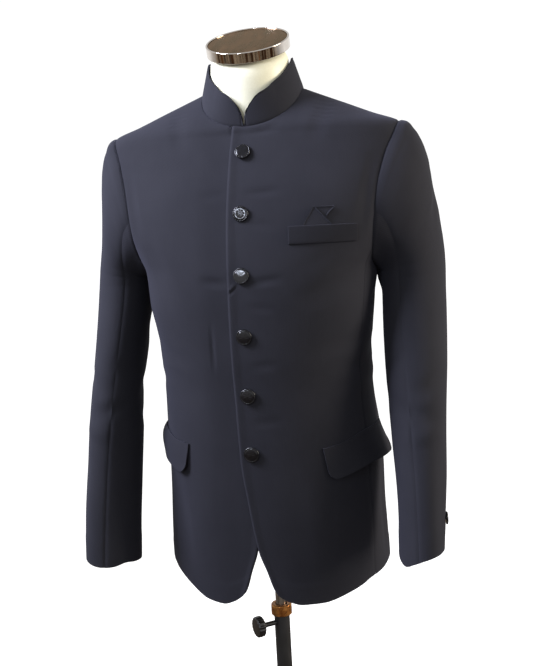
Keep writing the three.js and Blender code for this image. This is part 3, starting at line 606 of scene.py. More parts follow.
seam = {
    "rise": 0.9,  # cloth stands this much above the line where it is sewn to its neighbour
    "slope": 5.0,  # and rises to that over this much
    "tuck": 0.3,  # each piece reaches this far into the other there
    "seat": 0.35,  # what keeps a sewn-on piece clear of the cloth below
    "hemLift": 0.5,
    "hemEnd": (-4, 5),  # mm either side of the turned hem's upper edge, where that thins out
}


def offSeams(edges, sewn):
    nearest = min(edges[edge] for edge in sewn)
    return 1 - max(0.0, 1 - nearest / seam["slope"]) ** 2


def turnedHem(distance, depth):
    # two layers as far up as the hem is turned
    return seam["hemLift"] * (1 - ramp(*seam["hemEnd"], distance - depth))


def runsAlong(verts):
    runs = [0.0]
    for a, b in zip(verts, verts[1:]):
        runs.append(runs[-1] + (b.co - a.co).length)
    return runs


plainCut = {
    "wall": 2,
    "edge": 0.7,
    "crowding": 1,  # above 1 the columns are closer at the first edge
    "sewn": (),
    "held": "draped",
    "restsOn": ["dress_form"],
}


def clothPiece(name, settings, place, relief, fromBehind=False):
    # a flat grid moved onto the body, raised into its folds and given its thickness inwards
    cut = {**plainCut, **settings}
    bm = bmesh.new()
    weave = bm.loops.layers.uv.new("weave")
    bmesh.ops.create_grid(bm, x_segments=cut["across"], y_segments=cut["up"], size=0.5)
    if fromBehind:
        bmesh.ops.reverse_faces(bm, faces=bm.faces)
    ordered = sorted(bm.verts, key=lambda vert: (round(vert.co.y * cut["up"]), vert.co.x))
    width = cut["across"] + 1
    rows = [ordered[i:i + width] for i in range(0, len(ordered), width)]
    for i, row in enumerate(rows):
        for j, vert in enumerate(row):
            vert.co = place((j / cut["across"]) ** cut["crowding"], i / cut["up"])
    for edge, verts, others in (
        ("start", [row[0] for row in rows], [row[1] for row in rows]),
        ("end", [row[-1] for row in rows], [row[-2] for row in rows]),
        ("bottom", rows[0], rows[1]),
        ("top", rows[-1], rows[-2]),
    ):
        if edge in cut["sewn"]:
            for vert, other in zip(verts, others):
                vert.co += (vert.co - other.co).normalized() * seam["tuck"]
    across = [runsAlong(row) for row in rows]
    upward = [runsAlong(column) for column in zip(*rows)]
    middle = width // 2
    onCloth = {}
    for i, row in enumerate(rows):
        for j, vert in enumerate(row):
            onCloth[vert] = (across[i][j] - across[i][middle], upward[middle][i])
    for face in bm.faces:
        for loop in face.loops:
            loop[weave].uv = [run * millimetre for run in onCloth[loop.vert]]
    bm.normal_update()
    area = sum(face.calc_area() for face in bm.faces)
    lifts = []
    for i, row in enumerate(rows):
        for j, vert in enumerate(row):
            lifts.append((vert, relief(vert.co, {
                "start": across[i][j],
                "end": across[i][-1] - across[i][j],
                "bottom": upward[j][i],
                "top": upward[j][-1] - upward[j][i],
            })))
    for vert, lift in lifts:
        vert.co += vert.normal * lift
    bmesh.ops.translate(bm, vec=(0, 0, hemLevel), verts=bm.verts)
    piece = linkPiece(name, bm, suiting)
    wall = piece.modifiers.new("clothWall", "SOLIDIFY")
    wall.thickness = cut["wall"] * millimetre
    wall.offset = -1
    roundEdges(piece, cut["edge"])
    standFor(piece, "figure", cut["node"])
    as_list(cut["restsOn"])
    widest, longest = max(run[-1] for run in across), max(run[-1] for run in upward)
    print(f"{name}: {widest:.0f} x {longest:.0f} mm, {area / 1e6:.4f} m2")


# Fronts, side panels and backs

def topPlace(u, onBack):
    # along the neckline and then the shoulder seam
    reach = bodyCut["neckHalfWidth"]
    if u <= bodyCut["neckShare"]:
        start = 0.0 if onBack else -math.asin(bodyCut["lapReach"] / reach)
        x = reach * math.sin(mix(start, math.pi / 2, u / bodyCut["neckShare"]))
        return x, neckHeight(x, onBack)
    share = (u - bodyCut["neckShare"]) / (1 - bodyCut["neckShare"])
    x = mix(reach, armhole(bodyCut["armholeTop"])["frontX"], share)
    return x, shoulderHeight(x)


def panelPlace(side, onBack):
    # a front or back: its first edge is at the centre, its last at the side seam and armhole
    corner = bodyCut["armholeCorner"]
    split = bodyCut["cornerShare"]
    way = sideWays[side]
    tops, bottoms = {}, {}

    def firstX(height):
        return 0.0 if onBack else -frontEdge(height)["lap"]

    def seamX(height):
        return anglePoint(seamAngle(height, onBack), height).x

    def bottomOf(u):
        if onBack:
            return mix(bodyCut["backHem"], bodyCut["sideHems"][side], u)
        foot = bodyCut["edgeFoot"]
        hem = frontHems[side](mix(firstX(foot), seamX(foot), u))["height"]
        return mix(hem, bodyCut["sideHems"][side], ramp(bodyCut["hemBlend"], 1, u))

    def holeX(height):
        return armhole(height)["backX" if onBack else "frontX"]

    def place(u, v):
        if u not in tops:
            tops[u], bottoms[u] = topPlace(u, onBack), bottomOf(u)
        if v <= split:
            height = mix(bottoms[u], corner, v / split)
            x = mix(firstX(height), seamX(height), u)
        else:
            topX, topHeight = tops[u]
            share = 1 - (1 - (v - split) / (1 - split)) ** bodyCut["ridgePower"]
            height = mix(corner, topHeight, share)
            x = mix(mix(firstX(corner), seamX(corner), u), topX, share)
            offEdge = firstX(height) - mix(firstX(corner), topPlace(0, onBack)[0], share)
            offHole = holeX(height) - mix(seamX(corner), holeX(bodyCut["armholeTop"]), share)
            x += offEdge * (1 - ramp(0, bodyCut["edgeBlend"], u))
            x += offHole * ramp(bodyCut["holeBlend"], 1, u)
        point = facePoint(x, height, onBack)
        point.x *= way
        return point

    return place


def sidePlace(side):
    # a side panel: from the front seam to the back seam, and up to the armhole's lowest part
    corner = bodyCut["armholeCorner"]
    tops = {}

    def topOf(u):
        if u not in tops:
            angle = mix(seamAngle(corner, False), seamAngle(corner, True), u)
            edge = "frontX" if angle < 0 else "backX"
            underarm = bodyCut["underarmLevel"]
            low = bisect(underarm, corner, lambda h: angleOf(armhole(h)[edge], h) < abs(angle))
            tops[u] = angle, corner if u in (0, 1) else low
        return tops[u]

    def place(u, v):
        topAngle, top = topOf(u)
        height = mix(bodyCut["sideHems"][side], top, v)
        angle = mix(seamAngle(height, False), seamAngle(height, True), u)
        turning = ramp(bodyCut["turnShare"], 1, v) * ramp(0, bodyCut["seamBlend"], min(u, 1 - u))
        point = anglePoint(mix(angle, topAngle, turning), height)
        point.x *= sideWays[side]
        return point

    return place


frontCut = {
    "across": 96, "up": 260, "crowding": 1.25, "sewn": ("end", "top"), "flat": (0.304, 0.81), "area": 0.159,
}
backCut = {
    "across": 60, "up": 210, "sewn": ("start", "end", "top"), "flat": (0.262, 0.807), "area": 0.152,
}
sideCut = {
    "across": 34, "up": 130, "sewn": ("start", "end", "top"), "flat": (0.148, 0.514), "area": 0.06,
}
bodyEase = {
    "topFade": 16,  # the folds fade out over this much at the armhole, shoulder and neck
    "seamTopFade": 35,  # and a side panel's over this much at its seams, to agree with the front and back
    "seamReach": 25,
    "holeFrom": 470,  # from here up the folds of the front and back fade beside the armhole too
    "hemDepth": 32,
    "ridge": (1.2, 3.5, 17),  # rise inside the front edge, and the distances between which it ends
    "roll": (1.9, 3.6),  # drop at the front edge itself, and how far in it reaches
    "lapFlat": (16, 24),  # mm from the centre line, where the left front's lap ends
    "lapFade": (25, 70),  # and between which the right front comes up to its own level
    "footReach": 18,  # mm down from the collar over which it does so outside the lap
}


def bodyRelief(side, kind, sewn):
    ease = bodyEase
    ridge, ridgeFrom, ridgeTo = ease["ridge"]
    roll, rollTo = ease["roll"]

    def relief(point, edges):
        if kind == "side":
            nearest = min(edges["start"], edges["end"])
            reach = mix(ease["seamTopFade"], ease["topFade"], ramp(0, ease["seamReach"], nearest))
            fade = ramp(0, reach, edges["top"])
        else:
            beside = ramp(ease["holeFrom"], bodyCut["armholeCorner"], point.z)
            hole = mix(1, ramp(0, ease["topFade"], edges["end"]), beside)
            fade = ramp(0, ease["topFade"], edges["top"]) * hole
        lift = bodyLift(side, point) * fade
        lift += seam["rise"] * offSeams(edges, sewn) + turnedHem(edges["bottom"], ease["hemDepth"])
        if kind == "front":
            # the edge is turned and pressed: a ridge inside it, rolling over at the edge itself
            lift += ridge * (1 - ramp(ridgeFrom, ridgeTo, edges["start"]))
            lift -= roll * (1 - ramp(0, rollTo, edges["start"]))
            if side == "right":
                # it lies flat at the collar's foot, except under the lap
                flat = mix(1, ramp(0, ease["footReach"], edges["top"]), ramp(*ease["lapFlat"], -point.x))
                lift -= bodyCut["lapStep"] * (1 - ramp(*ease["lapFade"], -point.x)) * flat
        return lift

    return relief


for side in sideWays:
    behind = side == "right"
    clothPiece(f"{side}Front", {**frontCut, "node": f"{side}_front"}, panelPlace(side, False),
               bodyRelief(side, "front", frontCut["sewn"]), behind)
    clothPiece(f"{side}Back", {**backCut, "node": f"{side}_back"}, panelPlace(side, True),
               bodyRelief(side, "back", backCut["sewn"]), not behind)
    clothPiece(f"{side}SidePanel", {**sideCut, "node": f"{side}_side_panel"}, sidePlace(side),
               bodyRelief(side, "side", sideCut["sewn"]), behind)
print("body of the jacket made")


# Sleeves, ring by ring: a fan turned about the underarm down to the arm, then level sections

crown = smoothTable(("lift", "left", "right", "near", "halfDepth", "middle"), [
    # each side's reach from the underarm, then what both have in common
    (0, 98, 91, 4, 66, 26),
    (8, 97.7, 90.2, 4, 66.6, 26),
    (16, 99.2, 90.8, 4, 67.6, 25.5),
    (24, 102.8, 93.2, 4, 68.8, 24.5),
    (32, 109, 97, 4, 70, 23),
    (53, 147, 131, 4, 76, 19),
    (65, 187, 173, 6, 80, 15),
    (70, 210, 200, 8, 80, 12),
    (75, 223, 219, 9, 79, 9),
    (79, 223, 222, 10, 78, 8),
])
armColumns = ("height", "centreX", "centreY", "halfWidth", "halfDepth", "twist")
sleeves = {
    "left": {
        "arm": smoothTable(armColumns, [
            (40, 239, -100, 31, 53, 15),
            (120, 239, -84, 34, 55, 14),
            (210, 238.5, -64, 38, 58, 12),
            (300, 235.5, -38, 44.5, 60, 8),
            (380, 233.5, -8, 47.5, 63, 4),
            (466, 231.5, 26, 47.5, 66, 0),
        ]),
        "cuff": 54,
        "cuffRise": smoothTable(("turn", "rise"), [
            (-360, 12.5), (-300, 10), (-240, 4), (-199, 0), (-176, -5.5), (-153, -8.5), (-125, 0), (-97, 8),
            (-64, 12), (0, 12.5),
        ]),
        "folds": foldTable([
            # round the arm in degrees from the outermost line, negative to the front
            (180, 466, 60, 36, 0, 8.5),  # bunched under the arm
            (6, 590, 60, 44, 0, -3.0),
            (6, 490, 60, 60, 0, 2.0),
            (6, 246, 60, 90, 0, -2.0),
            (166, 130, 60, 90, 0, -2.2),
            (-58, 306, 56, 20, 22, -2.4),
            (-92, 268, 60, 18, -14, -2.2),
            (-76, 236, 50, 16, 8, 1.8),
            (-126, 334, 50, 18, 30, -2.0),
            (150, 292, 60, 20, -20, -2.2),
            (118, 238, 60, 18, 12, -1.8),
            (56, 344, 120, 30, 84, 1.6),
            (-14, 200, 150, 26, 88, 1.6),
            (-48, 124, 120, 20, 90, -1.5),
            (-40, 560, 44, 14, 62, -2.2),
            (-14, 614, 34, 12, 74, -1.8),
            (-72, 540, 50, 16, 44, -1.6),
            (40, 600, 44, 14, 96, -1.6),
            (96, 540, 60, 18, 110, -1.8),
        ]),
    },
    "right": {
        "arm": smoothTable(armColumns, [
            (40, 242, -100, 35.5, 52, 14),
            (120, 241, -84, 36, 53, 12),
            (210, 238, -64, 37.5, 57, 9),
            (300, 236.5, -38, 36, 61, 3),
            (380, 232, -8, 38, 65, 0),
            (466, 228, 26, 44, 66, 0),
        ]),
        "cuff": 42,
        "cuffRise": smoothTable(("turn", "rise"), [
            (-360, 3), (-310, 0), (-260, -8), (-215, -12.5), (-184, -9), (-155, -3.5), (-135, -5),
            (-105, -3.5), (-48, 2.5), (0, 3),
        ]),
        "folds": foldTable([
            (-32, 572, 75, 95, 0, -6.0),  # the head hollows below the shoulder's end
            (-48, 110, 60, 90, 0, 2.8),
            (132, 290, 60, 60, 0, -2.4),
            (132, 395, 50, 40, 0, -3.0),
            (-62, 312, 56, 20, 20, -2.4),
            (-96, 272, 60, 18, -12, -2.2),
            (-72, 240, 50, 16, 8, 1.8),
            (-126, 330, 50, 18, 26, -2.0),
            (148, 298, 60, 20, -18, -2.2),
            (118, 244, 60, 18, 14, -1.8),
            (-24, 270, 200, 22, 89, 2.0),
            (8, 190, 170, 22, 91, -1.4),
            (-52, 130, 120, 22, 87, -1.5),
            (-36, 580, 44, 14, 64, -1.6),
            (44, 600, 44, 14, 96, -1.6),
            (96, 540, 60, 18, 110, -1.8),
        ]),
    },
}
fan = {
    "x": 181,
    "height": 466,
    "steepest": 79,  # degrees up, at the armhole
    "rings": 7,
    "slackRings": 5,  # over these the rings leave the armhole's own curve
}
ringCount = 14
sleeveEase = {
    "unwind": 0.7,  # share of the rings over which the seams come to their places at the cuff
    "cuffStart": 12.6,  # the ring from which the cuff takes its slant
    "smoothing": 1.3,  # rings either way
    "rowSpacing": 0.9,  # below 1 the rows are closer at the cuff
    "foldFade": 30,
    "hemDepth": 38,
    "headRise": 1.4,
    "headReach": (8, 28),
    "headLevels": (560, 640),
}
seamParts = {"front": 7, "under": 5, "back": 7}  # how the armhole seam is shared out
seamTotal = sum(seamParts.values())
underSleeve = (6 / seamTotal, 13 / seamTotal)


def armholeSeam(share):
    # from the shoulder seam down the front, under the arm and up the back
    place = share * seamTotal
    corner, top = bodyCut["armholeCorner"], bodyCut["armholeTop"]
    backStart = seamParts["front"] + seamParts["under"]
    if seamParts["front"] < place < backStart:
        return sidePlace("left")((place - seamParts["front"]) / seamParts["under"], 1)
    onBack = place >= backStart
    step = clamp((place - backStart if onBack else seamParts["front"] - place) / seamParts["front"])
    height = mix(corner, top, 1 - (1 - step) ** bodyCut["ridgePower"])
    return facePoint(armhole(height)["backX" if onBack else "frontX"], height, onBack)


def sleevePlace(side):
    arm = sleeves[side]["arm"]
    first = crown(fan["steepest"])
    lifts = smoothTable(("ring", "lift"), [
        (0, fan["steepest"]), (1, 75.5), (2, 71), (3, 64), (4, 53), (5, 38), (6, 20), (fan["rings"], 0),
    ])
    heights = smoothTable(("ring", "height"), [
        (fan["rings"], fan["height"]), (8, 425), (9, 370), (10, 310), (11, 250), (12, 185), (13, 115),
        (ringCount, sleeves[side]["cuff"]),
    ])
    seams = {}

    def fanPoint(lift, turn):
        s = crown(lift)
        rise = math.radians(lift)
        out = s["near"] + (s[side] - s["near"]) * (1 + math.cos(turn)) / 2
        return Vector((
            fan["x"] + out * math.cos(rise),
            s["middle"] + s["halfDepth"] * math.sin(turn),
            fan["height"] + out * math.sin(rise),
        ))

    def seamOf(share):
        if share not in seams:
            point = armholeSeam(share)
            out = math.hypot(point.x - fan["x"], point.z - fan["height"])
            across = (out - first["near"]) / (first[side] - first["near"]) * 2 - 1
            turn = math.atan2((point.y - first["middle"]) / first["halfDepth"], across)
            if share * seamTotal < 0.5:
                turn = min(turn, 0.0)
            elif share * seamTotal > seamTotal - 0.5:
                turn = max(turn, 0.0) - 2 * math.pi
            elif turn > 0:
                turn -= 2 * math.pi
            seams[share] = turn, point - fanPoint(fan["steepest"], turn)
        return seams[share]

    def place(share, ring):
        seamTurn, slack = seamOf(share)
        turn = mix(seamTurn, -2 * math.pi * share, ramp(0, sleeveEase["unwind"] * ringCount, ring))
        if ring < fan["rings"]:
            point = fanPoint(lifts(ring)["lift"], turn) + slack * (1 - ramp(0, fan["slackRings"], ring))
        else:
            level = heights(ring)["height"]
            slant = sleeves[side]["cuffRise"](math.degrees(turn))["rise"]
            rise = slant * ramp(sleeveEase["cuffStart"], ringCount, ring)
            s = arm(level)
            twist = math.radians(s["twist"])
            across, along = s["halfWidth"] * math.cos(turn), s["halfDepth"] * math.sin(turn)
            point = Vector((
                s["centreX"] + across * math.cos(twist) - along * math.sin(twist),
                s["centreY"] + across * math.sin(twist) + along * math.cos(twist),
                level + rise,
            ))
        point.x *= sideWays[side]
        return point

    def smoothed(share, ring):
        # the mean over neighbouring rings, so that no ring shows as a kink
        reach = min(sleeveEase["smoothing"], ring, ringCount - ring)
        if reach < 0.01:
            return place(share, ring)
        total = place(share, ring) * 3
        for step, weight in ((0.5, 2), (1, 1)):
            total += (place(share, ring - reach * step) + place(share, ring + reach * step)) * weight
        return total / 9

    return smoothed


sleeveCuts = {
    "top": {
        "across": 60, "up": 176, "sewn": ("start", "end", "top"), "flat": (0.332, 0.675), "area": 0.127,
    },
    "under": {
        "across": 34, "up": 160, "sewn": ("start", "end", "top"), "flat": (0.235, 0.545), "area": 0.06,
    },
}
for side in sideWays:
    spot = sleevePlace(side)
    for part, cut in sleeveCuts.items():
        start, end = (underSleeve[1], 1 + underSleeve[0]) if part == "top" else underSleeve

        def onArm(u, v):
            share = mix(start, end, u)
            ring = (1 - v ** sleeveEase["rowSpacing"]) * ringCount
            return spot(round(share - 1 if share > 1 else share, 9), ring)

        def sleeveRelief(point, edges):
            s = sleeves[side]["arm"](point.z)
            centre = Vector((s["centreX"], s["centreY"]))
            turn = math.degrees(math.atan2(point.y - centre.y, abs(point.x) - centre.x))
            lift = foldLift(sleeves[side]["folds"], turn, point.z, 360)
            lift *= ramp(0, sleeveEase["foldFade"], edges["top"])
            lift += seam["rise"] + turnedHem(edges["bottom"], sleeveEase["hemDepth"])
            # the head stands up a little beyond its seam, over the end of the shoulder pad
            head = sleeveEase["headRise"] * (1 - ramp(*sleeveEase["headReach"], edges["top"]))
            lift += head * ramp(*sleeveEase["headLevels"], point.z)
            return lift * offSeams(edges, cut["sewn"])

        clothPiece(f"{side}{part.capitalize()}Sleeve", {**cut, "node": f"{side}_{part}_sleeve"}, onArm,
                   sleeveRelief, side == "left")
print("sleeves made")


# Band collar, from the left front edge round the back to the right one

collarCut = {
    "node": "collar",
    "across": 220, "up": 36, "sewn": ("bottom",), "flat": (0.487, 0.049), "area": 0.0202,
    "wall": 2.6, "edge": 0.9,
    "height": 46,
    "footMiddle": -3,
    "footHalfDepth": 63,
    "footSteps": 400,
    "topHalfWidth": 64,
    "topHalfDepth": 62,
    "topMiddle": -5,
    "cornerRadius": 26,
    "slant": 0.27,
    "slantReach": 60,
    "cornerCrowding": 1.35,  # columns crowd towards the round front corners
    "edgeStitch": 3.2,  # mm inside the edge
    "stitchDepth": 0.6,
    "stitchWidth": 2,
    "rise": 0.3,  # the cloth fills out above its foot
    "riseReach": 12,
}


def collarPlace(cut):
    steps = cut["footSteps"]
    feet = []
    for k in range(steps + 1):
        x = bodyCut["neckHalfWidth"] * math.sin(math.pi * k / steps)
        onBack = k > steps / 2
        feet.append(facePoint(x, neckHeight(x, onBack), onBack))
    runs = [0.0]
    for a, b in zip(feet, feet[1:]):
        runs.append(runs[-1] + (b - a).length)

    def place(u, v):
        half = (1 - abs(2 * u - 1)) ** cut["cornerCrowding"]
        i = min(int(half * steps), steps - 1)
        foot = feet[i].lerp(feet[i + 1], half * steps - i)
        run = mix(runs[i], runs[i + 1], half * steps - i)
        along = (foot.y - cut["footMiddle"]) / cut["footHalfDepth"]
        turn = math.atan2(along, foot.x / bodyCut["neckHalfWidth"])
        top = Vector((
            cut["topHalfWidth"] * math.cos(turn),
            cut["topMiddle"] + cut["topHalfDepth"] * math.sin(turn),
            foot.z + cut["height"],
        ))
        short = max(0.0, cut["cornerRadius"] - run)
        corner = cut["cornerRadius"] - math.sqrt(cut["cornerRadius"] ** 2 - short ** 2)
        reach = v * (1 - corner / cut["height"])
        point = foot.lerp(top, reach)
        point.x += cut["slant"] * cut["height"] * reach * max(0.0, 1 - run / cut["slantReach"])
        point.x *= 1 if u < 0.5 else -1
        return point

    return place


def collarRelief(point, edges):
    # the facing's stitch line draws the cloth in, and the rolled edge stands up outside it
    cut = collarCut
    inside = min(edges["top"], edges["start"], edges["end"])
    stitched = cut["stitchDepth"] * (1 - ramp(0, cut["stitchWidth"], abs(inside - cut["edgeStitch"])))
    risen = cut["rise"] * ramp(0, cut["riseReach"], edges["bottom"])
    return seam["rise"] * offSeams(edges, cut["sewn"]) + risen - stitched


clothPiece("bandCollar", collarCut, collarPlace(collarCut), collarRelief)
print("collar made")


# Patches on the fronts: a place and how far it stands off the cloth below

def offFront(side, point, out):
    # the point is on the wearer's left until it is carried to its own side
    onCloth = seam["rise"] + bodyLift(side, Vector((point.x * sideWays[side], *point.yz)))
    lifted = point + outwardAt(point) * (out + onCloth)
    lifted.x *= sideWays[side]
    return lifted


weltCut = {
    "node": "chest_welt", "restsOn": ["leftFront"],
    "across": 40, "up": 12, "flat": (0.102, 0.026), "area": 0.0026, "wall": 2, "edge": 0.8,
    "from": 68.6,
    "to": 161,
    "bottom": 518,
    "top": 543,
    "lean": 4.4,
    "footRoll": 0.5,
    "footReach": 3,
}


def weltPlace(u, v):
    point = facePoint(mix(weltCut["from"], weltCut["to"], u), mix(weltCut["bottom"], weltCut["top"], v))
    return offFront("left", point, seam["seat"] + weltCut["wall"] + weltCut["lean"] * v)


def weltRelief(point, edges):
    # sewn down along its foot
    return -weltCut["footRoll"] * (1 - ramp(0, weltCut["footReach"], edges["bottom"]))


clothPiece("chestWelt", weltCut, weltPlace, weltRelief)

# the square's showing part: a plain layer behind and a folded corner in front
squareCut = {
    "node": "pocket_square", "held": "folded", "restsOn": ["leftFront", "chestWelt"],
    "across": 30, "up": 24, "wall": 1.5, "edge": 0.5,
    "tip": 569,
    "foldWidth": (1.2, 2.6),  # mm from a folded edge between which it thins to one layer
}
squareRow = ("height", "from", "to")
squareLayers = {
    "pocketSquareBack": {
        "flat": (0.038, 0.038), "area": 0.0011,
        "rows": smoothTable(squareRow, [(533, 86, 124), (553, 97, 121.8), (squareCut["tip"], 103.5, 134)]),
        "bottom": 533, "out": 1.5, "rim": 1.2, "thick": ("start", "end", "top"),
    },
    "pocketSquareFold": {
        "flat": (0.056, 0.038), "area": 0.00105,
        "rows": smoothTable(squareRow, [(535, 83.5, 137), (squareCut["tip"], 103.5, 106)]),
        "bottom": 535, "out": 4.2, "rim": 0.9, "thick": ("start", "end"),  # clear of the other's rim
    },
}
for name, layer in squareLayers.items():
    def squarePlace(u, v):
        height = mix(layer["bottom"], squareCut["tip"], v)
        row = layer["rows"](height)
        point = facePoint(mix(row["from"], row["to"], u), height)
        return offFront("left", point, seam["seat"] + layer["out"])

    def squareRim(point, edges):
        # the folded edge is thicker than the layer it borders
        nearest = min(edges[edge] for edge in layer["thick"])
        return layer["rim"] * (1 - ramp(*squareCut["foldWidth"], nearest))

    clothPiece(name, {**squareCut, **layer}, squarePlace, squareRim)
print("chest pocket made")


# Pocket flaps, standing off the skirt towards their lower edge

flapCut = {
    "across": 56, "up": 22, "wall": 2, "edge": 0.8,
    "start": -56,  # degrees round the hip
    "step": 0.5,  # degrees
    "width": 151,
    "spare": 12,  # mm walked beyond that
    "corner": 14,
    "slant": 0.14,
    "spacing": -0.15,  # eases the columns' crowding at both ends
    "topReach": 0.6,  # share of the width in which the top comes to its rear level
    "standOff": 1.4,  # power of the depth: it stands off late
    "bowOff": 0.8,  # and where it bows, early
    "bowReach": 0.93 * math.pi,
    "curl": 0.75,  # share of the bow that is lost at the rear end
    "curlStart": 0.7,
    "rim": 0.5,
    "rimWidth": (3, 9),
}
flaps = {
    "left": {
        "flat": (0.173, 0.050), "area": 0.0076,
        "drop": 49, "frontTop": 218, "rearTop": 232, "frontOut": 3, "rearOut": 14, "bow": 0,
    },
    "right": {
        "flat": (0.173, 0.047), "area": 0.0071,
        "drop": 46, "frontTop": 225, "rearTop": 238, "frontOut": 6, "rearOut": 10.5,
        "bow": 1,  # stands off most at half its depth and curls back in below and at its rear end
    },
}


def flapPlace(side):
    flap, cut = flaps[side], flapCut
    angles, walked = [cut["start"]], [0.0]
    while walked[-1] < cut["width"] + cut["spare"]:
        here = anglePoint(angles[-1], flap["frontTop"])
        angles.append(angles[-1] + cut["step"])
        walked.append(walked[-1] + (anglePoint(angles[-1], flap["frontTop"]) - here).length)
    pairs = smoothTable(("walked", "angle"), list(zip(walked, angles)))

    def place(u, v):
        along = cut["width"] * (0.5 - 0.5 * math.cos(math.pi * mix(u, ramp(0, 1, u), cut["spacing"])))
        short = max(0.0, cut["corner"] - min(along, cut["width"] - along))
        drop = flap["drop"] - cut["corner"] + math.sqrt(cut["corner"] ** 2 - short ** 2)
        down = drop * (1 - v)
        share = along / cut["width"]
        angle = pairs(along + cut["slant"] * down * (1 - share))["angle"]
        top = mix(flap["frontTop"], flap["rearTop"], ramp(0, cut["topReach"], share))
        depth = down / flap["drop"]
        straight = depth ** cut["standOff"]
        bowed = mix(straight, math.sin(cut["bowReach"] * depth ** cut["bowOff"]), flap["bow"])
        curl = 1 - flap["bow"] * cut["curl"] * ramp(cut["curlStart"], 1, share)
        out = mix(flap["frontOut"] * straight, flap["rearOut"] * bowed, share) * curl
        return offFront(side, anglePoint(angle, top - down), seam["seat"] + cut["wall"] + out)

    return place


def flapRim(point, edges):
    # its turned edges are thicker below and in front
    return flapCut["rim"] * (1 - ramp(*flapCut["rimWidth"], min(edges["bottom"], edges["start"])))


for side in sideWays:
    clothPiece(f"{side}PocketFlap", {
        **flapCut, **flaps[side], "node": f"{side}_pocket_flap",
        "restsOn": [f"{side}Front", f"{side}SidePanel"],
    }, flapPlace(side), flapRim, side == "right")
print("pocket flaps made")


# Turned and cast pieces

def spunPiece(name, outline, material, body, node, look):
    # an outline of (radius, height) spun about Z, then turned and carried to its place
    bm = bmesh.new()
    verts = [bm.verts.new((radius, 0, height)) for radius, height in outline]
    for a, b in zip(verts, verts[1:]):
        bm.edges.new((a, b))
    if look.get("closed"):
        bm.edges.new((verts[-1], verts[0]))
    bmesh.ops.spin(bm, geom=bm.verts[:] + bm.edges[:], cent=(0, 0, 0), axis=(0, 0, 1), angle=2 * math.pi,
                   steps=look["steps"], use_merge=True)
    bmesh.ops.remove_doubles(bm, verts=bm.verts, dist=0.001)
    bmesh.ops.recalc_face_normals(bm, faces=bm.faces)
    shape = look.get("shape")
    if shape:
        for vert in bm.verts:
            vert.co = shape(vert.co)
    bmesh.ops.transform(bm, matrix=look.get("place", Matrix.Identity(4)), verts=bm.verts)
    piece = linkPiece(name, bm, material)
    if "edge" in look:
        roundEdges(piece, look["edge"], 3, look.get("sharpest", 28))
    standFor(piece, body, node)


def turnTo(point, outward, spin=0.0):
    aim = Vector((0, 0, 1)).rotation_difference(outward).to_matrix().to_4x4()
    return Matrix.Translation(point) @ aim @ Matrix.Rotation(math.radians(spin), 4, "Z")


button = {
    "radius": 11.6,
    "rim": [
        (0, 0), (3, 0), (3, 1.7), (10.4, 1.7), (11.2, 2.2), (11.6, 3.0), (11.6, 4.0), (11.25, 4.75),
        (10.6, 5.1), (10.0, 5.0), (9.6, 4.5), (9.3, 4.3),
    ],
    "shoulder": (8.8, 5.6),  # the dome is nearly flat, so that it mirrors a window whole
    "domeTop": 6.0,
    "height": 6.2,
    "steps": 120,
    "domeRows": 16,
    "petals": 8,
    "petalRise": 0.05,
    "petalReach": (1.2, 2.4, 5.2, 7.0),  # radii where a petal starts, is full, starts to end and ends
    "ring": (7.7, 0.6, 0.07),  # radius, half width, rise
    "boss": (0.7, 1.4, 0.08),  # radii between which it ends, rise
    "beads": 30,
    "beadRise": 0.1,
    "beadReach": (9.9, 11.3),
    "reliefFrom": {"face": 4.9, "rim": 4.7},  # heights above which each is shaped
    "cuffRadius": 9.5,
    "cuffTurns": {"left": 8, "right": 6},  # degrees that each one looks back from straight out
    "tips": (7, -8, 5.5, -3, -1, -2),  # degrees that each one looks up on its shank, from the top one
    "turnStep": 7,  # degrees that each one is turned from the one above it
    "cuffSpin": 12,
}


def buttonOutline(size):
    outline = list(button["rim"])
    radius, foot = button["shoulder"]
    for k in range(button["domeRows"] + 1):
        share = 1 - k / button["domeRows"]
        outline.append((radius * share, mix(button["domeTop"], foot, share * share)))
    return [(r * size, h * size) for r, h in outline]


def rosette(size):
    # a plain petalled relief inside a beaded rim
    start, full, wane, end = button["petalReach"]
    ringRadius, ringHalf, ringRise = button["ring"]
    bossFrom, bossTo, bossRise = button["boss"]
    beadFrom, beadTo = button["beadReach"]
    floors = button["reliefFrom"]

    def shape(co):
        radius, turn = math.hypot(co.x, co.y) / size, math.atan2(co.y, co.x)
        if co.z / size > floors["face"] and radius < button["shoulder"][0]:
            petal = ramp(start, full, radius) * (1 - ramp(wane, end, radius))
            ridge = math.cos(button["petals"] * turn) * button["petalRise"] * petal
            ring = ringRise * (1 - ramp(0, ringHalf, abs(radius - ringRadius)))
            boss = bossRise * (1 - ramp(bossFrom, bossTo, radius))
            co.z += (ridge + ring + boss) * size
        elif co.z / size > floors["rim"] and beadFrom < radius < beadTo:
            co.z += button["beadRise"] * size * math.cos(button["beads"] * turn)
        return co

    return shape


def placeButton(name, node, size, point, outward, spin):
    spunPiece(name, buttonOutline(size), buttonResin, "figure", node, {
        "steps": button["steps"], "shape": rosette(size), "place": turnTo(point, outward, spin),
    })


def nodeCentre(node):
    low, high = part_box(node)
    return (Vector(low) + Vector(high)) / (2 * millimetre)


